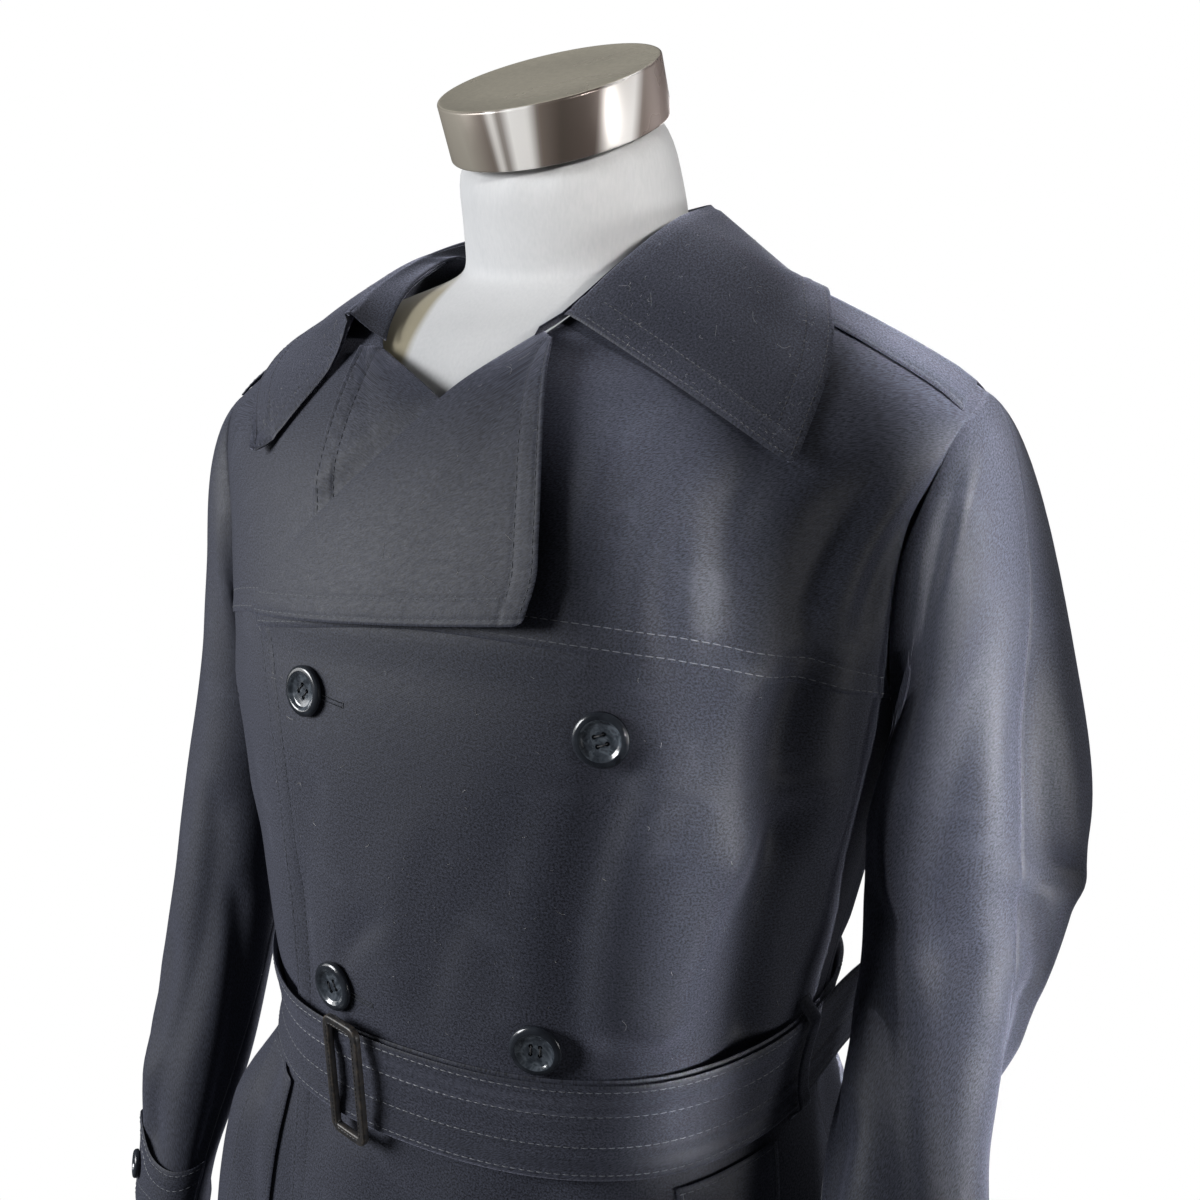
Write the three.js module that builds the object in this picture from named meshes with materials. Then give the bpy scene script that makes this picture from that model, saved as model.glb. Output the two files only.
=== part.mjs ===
import * as THREE from 'three';

// A double-breasted trench coat, belted, on a limbless dress form. Millimetres, +Z up.
// The front of the coat faces -Y and the wearer's left is +X. The floor is z = 0.

// Cloth and gaps
const CLOTH = 1.6;
const SEAM = 0.3;
const REST = 0.4;
const OVERLAP = 2.6;
const TUCKED_LAPEL = 3.0;
const OVERLAP_FULL_X = 100;
const OVERLAP_END_X = 160;
const RIDGE_LEVEL = 13;
const ARMPIT_LEVEL = 7;
const SQUARENESS = 2.3;
const SHOULDER_DROOP = 1.6;

// Body of the coat, one row for each level from the hem up to the shoulder ridge.
// half is half the width, shift is how far its centre lies towards the left side, front and back are
// depths from middle, and side is the height at the side seam.
const BODY = table('level height half shift front back middle side', [
  [0, 470, 262, -20, 196, 188, 0, 470],
  [1, 700, 236, -20, 180, 168, 0, 700],
  [2, 930, 210, -19, 163, 146, -2, 930],
  [3, 1045, 176, -13, 146, 130, -6, 1045],
  [4, 1082, 168, -10, 140, 124, -10, 1082],
  [5, 1125, 175, -9, 146, 128, -8, 1125],
  [6, 1200, 189, -6, 150, 130, -2, 1200],
  [7, 1262, 202, -3, 151, 126, 0, 1262],
  [8, 1320, 212, -1, 147, 122, 2, 1316],
  [9, 1380, 222, 0, 132, 116, 4, 1366],
  [10, 1432, 236, 0, 110, 111, 6, 1402],
  [11, 1480, 248, 0, 76, 94, 7, 1418],
  [12, 1513, 256, 0, 40, 55, 7, 1423],
  [13, 1533, 260, 0, 0, 0, 7, 1426],
]);

// Large soft folds: where round the body in degrees, from the front centre towards the left side,
// between which heights and over what length they fade, how far they stand out, and their half width
// in degrees. A foot below the hem means that the fold runs out at the hem.
const FOLDS = table('turn foot head fade depth width', [
  [52, 1130, 1290, 60, 3.5, 9],
  [66, 1110, 1240, 50, -3.0, 8],
  [38, 1120, 1210, 40, -2.0, 7],
  [-62, 1110, 1260, 60, 3.0, 9],
  [150, 1130, 1320, 80, 3.0, 10],
  [-132, 1125, 1300, 80, 3.5, 10],
  [18, 400, 1050, 180, 5.0, 9],
  [44, 400, 1055, 160, 8.0, 10],
  [68, 400, 1055, 140, -6.0, 9],
  [-54, 400, 1058, 70, 17.0, 15],
  [-84, 400, 1050, 140, -5.0, 9],
  [112, 400, 1052, 140, 8.0, 11],
  [138, 400, 1045, 170, -6.0, 10],
  [-118, 400, 1052, 140, 8.0, 11],
  [-146, 400, 1045, 160, -7.0, 10],
]);

// Edge of the over layer, and the line where each front turns out into its lapel and meets the collar
const FRONT_EDGE = table('level x', [
  [0, -122], [1, -118], [2, -113], [3, -111], [4, -105], [5, -102], [6, -107], [7, -111], [8.25, -123],
]);
const UNDER_EDGE_X = 92;
const LEFT_NECKLINE = table('level x', [
  [8.0, -122], [8.4, -113], [9, -77], [9.6, -40], [10.1, -12], [10.9, 30], [11.4, 47], [12, 64], [13, 76],
]);
const RIGHT_NECKLINE = table('level x', [
  [8.0, 92], [8.6, 92], [9.2, 62], [9.7, 20], [10.1, -12], [10.7, -62], [11.0, -77], [12, -84], [13, -84],
]);
const BACK_NECKLINE = table('level x', [
  [11.1, 0], [11.25, 26], [11.6, 48], [12.2, 66], [13, 76],
]);

// Armhole: how far out it lies at each level, as a share of the body's half width
const ARMHOLE = table('level front back', [
  [7, 1.0, 1.0], [7.5, 0.985, 0.985], [8, 0.962, 0.965], [9, 0.937, 0.945], [10, 0.932, 0.93],
  [11, 0.915, 0.915], [12, 0.902, 0.902], [13, 0.892, 0.892],
]);

// Chest seam under each yoke, by share of the way from the front edge to the armhole
const YOKE_SEAM = table('share level', [
  [0, 8.05], [0.3, 8.24], [0.6, 8.18], [0.8, 8.0], [1, 7.66],
]);

const BODY_ROWS = [0, 0.5, 1, 1.5, 2, 2.5, 3, 3.5, 4, 4.5, 5, 5.5, 6, 6.5, 7];
const CHEST_ROWS = 2;
const YOKE_ROWS = 8;
const BACK_ROWS = 11;
const FRONT_COLUMNS = 17;
const BACK_COLUMNS = 10;
const NECK_SHARE = 0.4;

// Left lapel: leaf tip and notch in the front view, with how far the leaf stands off the chest
const LEFT_LAPEL = { tipX: 66, tipZ: 1340, notchX: 42, notchZ: 1464, from: 8.14, to: 10.9, proud: 9 };
const RIGHT_LAPEL = { tipX: -84, tipZ: 1348, notchX: -83, notchZ: 1464, from: 8.75, to: 10.85, proud: 5 };

// Collar: fold line at its top and outer edge, from the left front round the neck to the right front
const COLLAR = table('share foldX foldY foldZ edgeX edgeY edgeZ', [
  [0, 43, -72, 1484, 168, -88, 1414],
  [0.12, 64, -50, 1510, 166, -38, 1456],
  [0.24, 76, -14, 1531, 147, 8, 1487],
  [0.37, 69, 42, 1541, 105, 86, 1477],
  [0.5, 0, 88, 1538, 0, 116, 1452],
  [0.63, -68, 52, 1533, -112, 86, 1466],
  [0.76, -92, 4, 1520, -160, 26, 1474],
  [0.88, -103, -36, 1500, -186, -36, 1450],
  [1, -98, -70, 1486, -146, -100, 1412],
]);
const COLLAR_COLUMNS = 28;
const COLLAR_ROWS = 5;
const COLLAR_ROUND = 14;
const COLLAR_ROUND_WAY = [0.73, 0.39, -0.55];
const COLLAR_CLOTH = 2.0;

const STRAP_REST = 0.7;
const EPAULETTE = { innerX: 112, outerX: 229, innerHalf: 20, outerHalf: 25, middle: 6, columns: 8 };

// Sleeves below the armhole: centre, half widths of the flattened section, outside and on the body's
// side, the turn of its wide axis and the turn of the outer seam on it, both in degrees.
// The right sleeve is given as its mirror image.
const LEFT_SLEEVE = table('step x y z wide thin inner turn seam', [
  [0, 238.5, 2, 1222, 61.5, 43, 22, 42, 88],
  [1, 238, 0, 1190, 57.5, 43, 26, 38, 84],
  [2, 234.5, -7, 1150, 50.5, 42, 28, 30, 70],
  [3, 227, -22, 1108, 44, 41, 30, 22, 40],
  [4, 222, -44, 1060, 41.5, 38, 33, 16, 10],
  [5, 227, -66, 1010, 43, 37, 35, 13, 4],
  [6, 233, -88, 950, 42, 36, 35, 12, 2],
  [7, 237, -106, 890, 41, 36, 35, 12, 0],
  [8, 241, -118, 836, 41, 37, 36, 12, 0],
]);
const RIGHT_SLEEVE = table('step x y z wide thin inner turn seam', [
  [0, 253.5, 0, 1222, 62, 41, 26, 42, 74],
  [1, 262, -5, 1185, 60, 39, 30, 40, 66],
  [2, 266.5, -13, 1140, 58, 38.5, 32, 38, 56],
  [3, 270, -23, 1090, 56, 38, 35, 38, 46],
  [4, 276, -38, 1030, 54, 37, 36, 39, 38],
  [5, 281, -55, 975, 52, 36, 35, 40, 32],
  [6, 284, -74, 915, 51, 26, 24, 43, 28],
  [7, 286, -89, 860, 51, 24, 23, 45, 26],
  [8, 288, -101, 812, 51, 25, 24, 45, 26],
]);
const SLEEVE_SEAM = 0.28;
const SLEEVE_STEPS = 11;
const CAP_STEPS = [0, 0.07, 0.18, 0.32, 0.48, 0.66, 0.84];

const CUFF_STRAP = table('share foot head', [
  [0.13, -17, 25], [0.165, -22, 30], [0.21, -21, 28], [0.26, -16, 23], [0.31, -14, 21],
  [0.38, -14, 21], [0.47, -14, 25],
]);
const CUFF_STRAP_STEP = 6.2;
const CUFF_BUTTON_SHARE = 0.195;
const CUFF_STRAP_CLOTH = 1.8;

// Belt: once round from under the buckle, then on over its own start to a free tip at the left side
const BELT_WIDTH = 56;
const BELT_CLOTH = 2.4;
const BELT = table('turn lift height', [
  [-17, 3.1, 1082], [40, 3.1, 1083], [62, 2.4, 1088], [90, 1.4, 1091], [150, 1.0, 1089], [210, 1.0, 1089],
  [270, 1.0, 1090], [306, 1.2, 1086], [319, 3.2, 1084], [333, 6.1, 1083], [400, 6.1, 1082], [422, 5.4, 1087],
  [444, 4.8, 1091], [456, 9, 1094], [464, 17, 1097], [471, 27, 1099],
]);
const BELT_COLUMNS = 84;
const BUCKLE = {
  x: -50, z: 1083, width: 30, height: 72, bar: 5.5, thick: 4.2, corner: 7, lift: 12.4, lean: -7,
};
const LOOPS = table('side turn lift', [[1, 76, 9.8], [-1, 84, 5.6]]);
const LOOP = { half: 5, foot: 1053, head: 1127, cloth: 1.8 };

const WELT = { topX: 137, topZ: 1046, footX: 166, footZ: 880, half: 17, cloth: 2.2 };

const FRONT_BUTTONS = table('x z lift', [
  [94.5, 1290, 0.8], [-76, 1293, 0.8], [60, 1125.5, 0.45], [-63, 1131, 0.8], [58, 965, 0.8], [-62, 965, 0.2],
]);
const BUTTON_NAMES = ['top_left', 'top_right', 'waist_left', 'waist_right', 'low_left', 'low_right'];
const BUTTON_RADIUS = 13.7;
const CUFF_BUTTON_RADIUS = 9.5;

// Dress form, one row for each ring. tilt leans the neck forward, in degrees.
const FORM = table('height half front back middle tilt', [
  [850, 150, 112, 104, -2, 0],
  [880, 168, 128, 116, -3, 0],
  [940, 174, 134, 122, -4, 0],
  [1010, 156, 124, 112, -6, 0],
  [1082, 143, 120, 108, -8, 0],
  [1150, 157, 128, 114, -4, 0],
  [1210, 174, 135, 117, -1, 0],
  [1270, 190, 138, 117, 0, 0],
  [1330, 199, 132, 115, 2, 0],
  [1385, 210, 118, 108, 4, 0],
  [1420, 220, 102, 102, 6, 0],
  [1440, 219, 92, 98, 6, 0],
  [1458, 197, 82, 90, 7, 0],
  [1474, 168, 74, 82, 8, 0],
  [1488, 134, 62, 58, 10, 2],
  [1500, 95, 57, 44, 13, 5],
  [1509, 71, 56, 43, 17, 8],
  [1517, 67, 59, 54, 19, 10],
  [1530, 66, 61, 59.5, 17, 14],
  [1552, 62.5, 61, 60.5, 10.5, 19],
  [1578.6, 60.3, 60.3, 60.3, 0.6, 24],
]);
const FORM_COLUMNS = 28;
const CAP = { x: 0, y: 0.45, z: 1579.1, radius: 61.3, height: 30.6, tilt: 24 };
const BASE = { radius: 160, height: 12, hub: 26, hubHeight: 34 };
const POLE_RADIUS = 12.5;

const COAT = new THREE.MeshStandardMaterial({ color: 0x23262e, roughness: 0.8 });
const HORN = new THREE.MeshStandardMaterial({ color: 0x2d3238, roughness: 0.3 });
const LEATHER = new THREE.MeshStandardMaterial({ color: 0x1b1b1d, roughness: 0.5 });
const JERSEY = new THREE.MeshStandardMaterial({ color: 0xe6e8ea, roughness: 0.9 });
const STEEL = new THREE.MeshStandardMaterial({ color: 0xb9b6b0, roughness: 0.3, metalness: 1 });

const group = new THREE.Group();

// Tables and numbers

function table(names, rows) {
  const columns = names.split(' ');
  return rows.map((row) => Object.fromEntries(columns.map((name, i) => [name, row[i]])));
}

function read(rows, key, value) {
  const last = rows.length - 1;
  const at = Math.min(Math.max(value, rows[0][key]), rows[last][key]);
  let i = 0;
  while (i < last - 1 && at > rows[i + 1][key]) i += 1;
  const a = rows[i];
  const b = rows[i + 1];
  const span = b[key] - a[key];
  const t = (at - a[key]) / span;
  const result = {};
  for (const name of Object.keys(a)) {
    const before = i > 0 ? rows[i - 1] : a;
    const after = i < last - 1 ? rows[i + 2] : b;
    const slopeA = (b[name] - before[name]) / (b[key] - before[key]) * span;
    const slopeB = (after[name] - a[name]) / (after[key] - a[key]) * span;
    const h01 = t * t * (3 - 2 * t);
    const h10 = t * (1 - t) * (1 - t);
    const h11 = -t * t * (1 - t);
    result[name] = a[name] * (1 - h01) + b[name] * h01 + slopeA * h10 + slopeB * h11;
  }
  return result;
}

function mix(a, b, t) {
  return a + (b - a) * t;
}

function smooth(t) {
  const s = Math.min(Math.max(t, 0), 1);
  return s * s * (3 - 2 * s);
}

function radians(degrees) {
  return degrees * Math.PI / 180;
}

function point(x, y, z) {
  return new THREE.Vector3(x, y, z);
}

function between(a, b, t) {
  return a.clone().lerp(b, t);
}

// The coat's surface, by turn round the body and level

function skin(turn, level) {
  const row = read(BODY, 'level', level);
  const s = Math.sin(turn);
  const c = Math.cos(turn);
  const reach = (Math.abs(s) ** SQUARENESS + Math.abs(c) ** SQUARENESS) ** (-1 / SQUARENESS);
  const depth = c > 0 ? row.front : row.back;
  const across = Math.abs(reach * s);
  const drop = (row.height - row.side) * across ** SHOULDER_DROOP;
  return point(row.shift + row.half * reach * s, row.middle - depth * reach * c, row.height - drop);
}

function outward(turn, level) {
  const inside = Math.min(level, RIDGE_LEVEL - 0.02);
  const across = skin(turn + 0.01, inside).sub(skin(turn - 0.01, inside));
  const up = skin(turn, inside + 0.015).sub(skin(turn, inside - 0.015));
  const normal = across.cross(up).normalize();
  normal.y *= smooth((RIDGE_LEVEL - level) / 0.7);
  return normal.normalize();
}

function foldAt(turn, height) {
  let degrees = turn * 180 / Math.PI;
  if (degrees > 180) degrees -= 360;
  let lift = 0;
  for (const fold of FOLDS) {
    const offset = (degrees - fold.turn) / fold.width;
    const below = smooth((fold.head - height) / fold.fade);
    const above = fold.foot < BODY[0].height ? 1 : smooth((height - fold.foot) / fold.fade);
    lift += fold.depth * Math.exp(-offset * offset) * below * above;
  }
  return lift;
}

function place(turn, level, lift) {
  const base = skin(turn, level);
  return base.addScaledVector(outward(turn, level), lift + foldAt(turn, base.z));
}

function turnAt(x, level) {
  const row = read(BODY, 'level', level);
  const away = x - row.shift;
  const share = Math.min(Math.abs(away) / row.half, 1);
  const power = share ** SQUARENESS;
  return Math.sign(away) * Math.atan2(power ** (1 / SQUARENESS), (1 - power) ** (1 / SQUARENESS));
}

function levelAt(heightOf, height) {
  let low = 0;
  let high = RIDGE_LEVEL;
  for (let i = 0; i < 40; i += 1) {
    const level = (low + high) / 2;
    if (heightOf(level) < height) low = level;
    else high = level;
  }
  return (low + high) / 2;
}

function frontSpot(x, z) {
  const level = levelAt((at) => skin(turnAt(x, at), at).z, z);
  return { turn: turnAt(x, level), level };
}

function overlapLift(x, z) {
  const sideways = 1 - smooth((x - OVERLAP_FULL_X) / (OVERLAP_END_X - OVERLAP_FULL_X));
  const chest = TUCKED_LAPEL * smooth((z - 1308) / 26);
  const upper = 1 - smooth((z - 1440) / 36);
  return (OVERLAP + chest) * sideways * upper;
}

function overPoint(turn, level, lift) {
  const base = skin(turn, level);
  return place(turn, level, lift + overlapLift(base.x, base.z));
}

function underPoint(turn, level, lift) {
  return place(turn, level, lift);
}

// Closed solids from grids of points

function addSolid(name, material, points, faces) {
  let volume = 0;
  for (const [a, b, c] of faces) volume += points[a].dot(points[b].clone().cross(points[c]));
  const index = volume > 0 ? faces.flat() : faces.map(([a, b, c]) => [a, c, b]).flat();
  const geometry = new THREE.BufferGeometry();
  const numbers = points.flatMap((p) => p.toArray());
  geometry.setAttribute('position', new THREE.Float32BufferAttribute(numbers, 3));
  geometry.setIndex(index);
  geometry.computeVertexNormals();
  const mesh = new THREE.Mesh(geometry, material);
  mesh.name = name;
  group.add(mesh);
}

function addWall(name, material, outer, inner) {
  const rows = outer.length;
  const columns = outer[0].length;
  const points = [...outer.flat(), ...inner.flat()];
  const shift = rows * columns;
  const faces = [];
  for (let r = 0; r < rows - 1; r += 1) {
    for (let c = 0; c < columns - 1; c += 1) {
      const a = r * columns + c;
      const b = a + 1;
      const d = a + columns;
      const e = d + 1;
      faces.push([a, b, e], [a, e, d]);
      faces.push([a + shift, e + shift, b + shift], [a + shift, d + shift, e + shift]);
    }
  }
  const rim = [];
  for (let c = 0; c < columns; c += 1) rim.push(c);
  for (let r = 1; r < rows; r += 1) rim.push(r * columns + columns - 1);
  for (let c = columns - 2; c >= 0; c -= 1) rim.push((rows - 1) * columns + c);
  for (let r = rows - 2; r > 0; r -= 1) rim.push(r * columns);
  rim.forEach((a, i) => {
    const b = rim[(i + 1) % rim.length];
    faces.push([a, a + shift, b + shift], [a, b + shift, b]);
  });
  addSolid(name, material, points, faces);
}

function grid(rows, columns, make) {
  const result = [];
  for (let r = 0; r <= rows; r += 1) {
    const line = [];
    for (let c = 0; c <= columns; c += 1) line.push(make(r, c));
    result.push(line);
  }
  return result;
}

// Draws the edges of a grid in by half a seam, so that neighbours stand a seam apart
function drawIn(points, step) {
  const rows = points.length - 1;
  const columns = points[0].length - 1;
  const result = points.map((line) => line.map((p) => p.clone()));
  const pull = (r, c, toR, toC) => {
    const way = points[toR][toC].clone().sub(points[r][c]).normalize();
    result[r][c].addScaledVector(way, step);
  };
  for (let r = 0; r <= rows; r += 1) {
    pull(r, 0, r, 1);
    pull(r, columns, r, columns - 1);
  }
  for (let c = 0; c <= columns; c += 1) {
    pull(0, c, 1, c);
    pull(rows, c, rows - 1, c);
  }
  return result;
}

function addPanel(name, outer, inner, step = SEAM / 2) {
  addWall(name, COAT, drawIn(outer, step), drawIn(inner, step));
}

// Panels of the body

function armholeTurn(side, level, back) {
  const share = read(ARMHOLE, 'level', level)[back ? 'back' : 'front'];
  const power = share ** SQUARENESS;
  const turn = Math.atan2(power ** (1 / SQUARENESS), (1 - power) ** (1 / SQUARENESS));
  return side * (back ? Math.PI - turn : turn);
}

function sideTurn(side, level, back) {
  return level <= ARMPIT_LEVEL ? side * Math.PI / 2 : armholeTurn(side, level, back);
}

function frontStart(side, level) {
  if (level > 8) return turnAt(read(side > 0 ? LEFT_NECKLINE : RIGHT_NECKLINE, 'level', level).x, level);
  const x = side > 0 ? read(FRONT_EDGE, 'level', level).x : UNDER_EDGE_X;
  return turnAt(x, level);
}

function frontLevel(row, share) {
  if (row < BODY_ROWS.length) return BODY_ROWS[row];
  const seam = read(YOKE_SEAM, 'share', share).level;
  return mix(ARMPIT_LEVEL, seam, (row - BODY_ROWS.length + 1) / CHEST_ROWS);
}

function yokeLevel(row, share) {
  const seam = read(YOKE_SEAM, 'share', share).level;
  return mix(seam, RIDGE_LEVEL, row / YOKE_ROWS);
}

function backLevel(row, share) {
  if (row < BODY_ROWS.length) return BODY_ROWS[row];
  const climb = (row - BODY_ROWS.length + 1) / BACK_ROWS;
  const top = backTop(share);
  return mix(ARMPIT_LEVEL, top, climb);
}

// The back's top edge runs along the neckline, then along the shoulder ridge
function backTop(share) {
  if (share >= NECK_SHARE) return RIDGE_LEVEL;
  return mix(BACK_NECKLINE[0].level, RIDGE_LEVEL, (share / NECK_SHARE) ** 1.8);
}

function backTurn(side, row, share) {
  const level = backLevel(row, share);
  const outer = sideTurn(side, Math.min(level, RIDGE_LEVEL), true);
  const climb = Math.max(0, (row - BODY_ROWS.length + 1) / BACK_ROWS);
  const spine = side * Math.PI;
  const even = mix(spine, outer, share);
  const neckX = share < NECK_SHARE ? read(BACK_NECKLINE, 'level', level).x : null;
  const ridgeShare = (share - NECK_SHARE) / (1 - NECK_SHARE);
  const neckTurn = side * (Math.PI - turnAt(76, RIDGE_LEVEL));
  const top = neckX === null ? mix(neckTurn, outer, ridgeShare) : side * (Math.PI - turnAt(neckX, level));
  return mix(even, top, smooth(climb));
}

function frontGrid(side, lift) {
  const make = side > 0 ? overPoint : underPoint;
  const rows = BODY_ROWS.length - 1 + CHEST_ROWS;
  return grid(rows, FRONT_COLUMNS, (r, c) => {
    const share = c / FRONT_COLUMNS;
    const level = frontLevel(r, share);
    const turn = mix(frontStart(side, level), sideTurn(side, level, false), share);
    return make(turn, level, lift);
  });
}

function yokeGrid(side, lift) {
  const make = side > 0 ? overPoint : underPoint;
  return grid(YOKE_ROWS, FRONT_COLUMNS, (r, c) => {
    const share = c / FRONT_COLUMNS;
    const level = yokeLevel(r, share);
    const turn = mix(frontStart(side, level), sideTurn(side, level, false), share);
    return make(turn, level, lift);
  });
}

function backGrid(side, lift) {
  const rows = BODY_ROWS.length - 1 + BACK_ROWS;
  return grid(rows, BACK_COLUMNS, (r, c) => {
    const share = c / BACK_COLUMNS;
    return underPoint(backTurn(side, r, share), backLevel(r, share), lift);
  });
}

for (const [side, name] of [[1, 'left'], [-1, 'right']]) {
  addPanel(`front_${name}`, frontGrid(side, 0), frontGrid(side, -CLOTH));
  addPanel(`yoke_${name}`, yokeGrid(side, 0), yokeGrid(side, -CLOTH));
  addPanel(`back_${name}`, backGrid(side, 0), backGrid(side, -CLOTH));
}

// Samples of the coat's outer surface, to keep other pieces clear of it

function surfaceSamples() {
  const samples = [];
  for (const side of [1, -1]) {
    for (let level = 2.5; level <= RIDGE_LEVEL; level += 0.1) {
      const start = frontStart(side, level);
      const end = sideTurn(side, level, false);
      for (let i = 0; i <= 26; i += 1) {
        const turn = mix(start, end, i / 26);
        const at = side > 0 ? overPoint(turn, level, 0) : underPoint(turn, level, 0);
        samples.push({ at, normal: outward(turn, level) });
      }
      const backEnd = sideTurn(side, level, true);
      for (let i = 0; i <= 24; i += 1) {
        const turn = mix(side * Math.PI, backEnd, i / 24);
        const at = underPoint(turn, level, 0);
        const row = read(BACK_NECKLINE, 'level', level);
        const onBack = level < BACK_NECKLINE[0].level || Math.abs(at.x) > row.x - 2;
        if (onBack) samples.push({ at, normal: outward(turn, level) });
      }
    }
  }
  return samples;
}

const SAMPLES = surfaceSamples();

function nearest(p) {
  let best = null;
  let least = Infinity;
  for (const sample of SAMPLES) {
    const away = sample.at.distanceToSquared(p);
    if (away < least) {
      least = away;
      best = sample;
    }
  }
  const height = p.clone().sub(best.at).dot(best.normal);
  return { height, normal: best.normal, distance: Math.sqrt(least) };
}

function keepAbove(p, gap) {
  for (let i = 0; i < 3; i += 1) {
    const near = nearest(p);
    if (near.height < gap) p.addScaledVector(near.normal, gap - near.height);
  }
  return p;
}

function keepBelow(p, gap) {
  for (let i = 0; i < 3; i += 1) {
    const near = nearest(p);
    if (near.distance < 30 && near.height > -gap) p.addScaledVector(near.normal, -gap - near.height);
  }
  return p;
}

// Lapels

function lapelGrid(side, lapel, lift) {
  const neckline = side > 0 ? LEFT_NECKLINE : RIGHT_NECKLINE;
  return grid(8, 6, (r, c) => {
    const along = r / 8;
    const out = c / 6;
    const level = mix(lapel.from, lapel.to, along);
    const rollX = read(neckline, 'level', level).x;
    const roll = skin(turnAt(rollX, level), level);
    const corner = 0.03 * smooth((out - 0.6) / 0.4) * (1 - smooth(along / 0.2));
    const edgeX = mix(lapel.tipX, lapel.notchX, along);
    const edgeZ = mix(lapel.tipZ, lapel.notchZ, along);
    const x = mix(roll.x, edgeX, out * (1 - corner));
    const z = mix(roll.z, edgeZ, out);
    const spot = frontSpot(x, z);
    const leaf = lapelLift(side, lapel, x, z, out);
    const make = side > 0 ? overPoint : underPoint;
    return make(spot.turn, spot.level, leaf + lift);
  });
}

// The left leaf rolls off the chest. The right one lies flat where the left front covers it.
function lapelLift(side, lapel, x, z, out) {
  const roll = 1.2 * Math.sin(Math.PI * Math.min(out * 1.6, 1));
  if (side > 0) return REST + 0.3 + roll + lapel.proud * out ** 1.5;
  const leftRollX = mix(-123, -12, (z - 1330) / 105);
  const free = smooth((leftRollX - 7 - x) / 26) * smooth((z - 1372) / 30);
  return REST + free * (roll + lapel.proud * out);
}

for (const [side, name, lapel] of [[1, 'left', LEFT_LAPEL], [-1, 'right', RIGHT_LAPEL]]) {
  addPanel(`lapel_${name}`, lapelGrid(side, lapel, CLOTH), lapelGrid(side, lapel, 0));
}

// Collar

function collarFold(share) {
  const row = read(COLLAR, 'share', share);
  return point(row.foldX, row.foldY, row.foldZ);
}

function collarEdge(share) {
  const row = read(COLLAR, 'share', share);
  return point(row.edgeX, row.edgeY, row.edgeZ);
}

function necklineFoot(share) {
  if (share < 0.5) return neckFootOn(LEFT_NECKLINE, 1, share / 0.5);
  return neckFootOn(RIGHT_NECKLINE, -1, (1 - share) / 0.5);
}

function neckFootOn(neckline, side, way) {
  const frontShare = 0.42;
  if (way < frontShare) {
    const level = mix(side > 0 ? 11.0 : 10.95, RIDGE_LEVEL, way / frontShare);
    const make = side > 0 ? overPoint : underPoint;
    return make(turnAt(read(neckline, 'level', level).x, level), level, 0);
  }
  const back = (way - frontShare) / (1 - frontShare);
  const share = NECK_SHARE * (1 - back);
  const level = backTop(share);
  return underPoint(backTurn(side, BODY_ROWS.length - 1 + BACK_ROWS, share), level, 0);
}

function standGrid(inward) {
  return grid(2, COLLAR_COLUMNS, (r, c) => {
    const share = c / COLLAR_COLUMNS;
    const foot = necklineFoot(share);
    const fold = collarFold(share);
    const up = fold.clone().sub(foot).normalize();
    const across = collarFold(Math.min(share + 0.01, 1)).sub(collarFold(Math.max(share - 0.01, 0)));
    const out = across.cross(up).normalize();
    if (out.dot(point(fold.x, fold.y - 20, 0)) < 0) out.negate();
    const bottom = foot.addScaledVector(up, 0.7).addScaledVector(out, -0.5);
    const top = fold.addScaledVector(up, -2.6).addScaledVector(out, -1.2);
    return between(bottom, top, r / 2).addScaledVector(out, -inward);
  });
}

function fallGrid(lift) {
  return grid(COLLAR_ROWS, COLLAR_COLUMNS, (r, c) => {
    const share = c / COLLAR_COLUMNS;
    const down = r / COLLAR_ROWS;
    const fold = collarFold(share);
    const edge = collarEdge(share);
    const slope = edge.clone().sub(fold);
    const across = collarFold(Math.min(share + 0.02, 1)).sub(collarFold(Math.max(share - 0.02, 0)));
    const out = across.cross(slope).normalize();
    if (out.z < 0) out.negate();
    const round = COLLAR_ROUND * Math.sin(Math.PI * down) ** 0.6 * smooth((share - 0.86) / 0.14);
    const p = between(fold, edge, down).addScaledVector(out, 3.5 * Math.sin(Math.PI * down));
    p.addScaledVector(point(...COLLAR_ROUND_WAY).normalize(), round);
    const onStrap = Math.abs(p.x) > EPAULETTE.innerX - 8 && Math.abs(p.y - EPAULETTE.middle) < 34;
    const gap = onStrap ? STRAP_REST + CLOTH + 2.0 : REST + 0.6;
    if (down > 0.15) keepAbove(p, gap + (share < 0.03 || share > 0.97 ? 1.5 : 0));
    return p.addScaledVector(out, lift);
  });
}

addPanel('collar_stand', standGrid(0), standGrid(COLLAR_CLOTH));
addPanel('collar_fall', fallGrid(COLLAR_CLOTH), fallGrid(0));

// Shoulder straps

function ridgeStrap(side, lift) {
  return grid(4, EPAULETTE.columns, (r, c) => {
    const along = c / EPAULETTE.columns;
    const x = mix(EPAULETTE.innerX, EPAULETTE.outerX, along);
    const half = mix(EPAULETTE.innerHalf, EPAULETTE.outerHalf, along);
    const y = EPAULETTE.middle + mix(-half, half, r / 4);
    const back = y > BODY[13].middle;
    const away = Math.abs(y - BODY[13].middle);
    const level = ridgeLevel(x, away, back);
    const turn = turnAt(x, level);
    return place(side * (back ? Math.PI - turn : turn), level, lift);
  });
}

// Level at which the surface lies this far in front of, or behind, the ridge
function ridgeLevel(x, away, back) {
  let low = 9;
  let high = RIDGE_LEVEL;
  for (let i = 0; i < 30; i += 1) {
    const level = (low + high) / 2;
    const row = read(BODY, 'level', level);
    const across = Math.min(x / row.half, 1) ** SQUARENESS;
    const depth = (back ? row.back : row.front) * (1 - across) ** (1 / SQUARENESS);
    if (depth > away) low = level;
    else high = level;
  }
  return (low + high) / 2;
}

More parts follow.
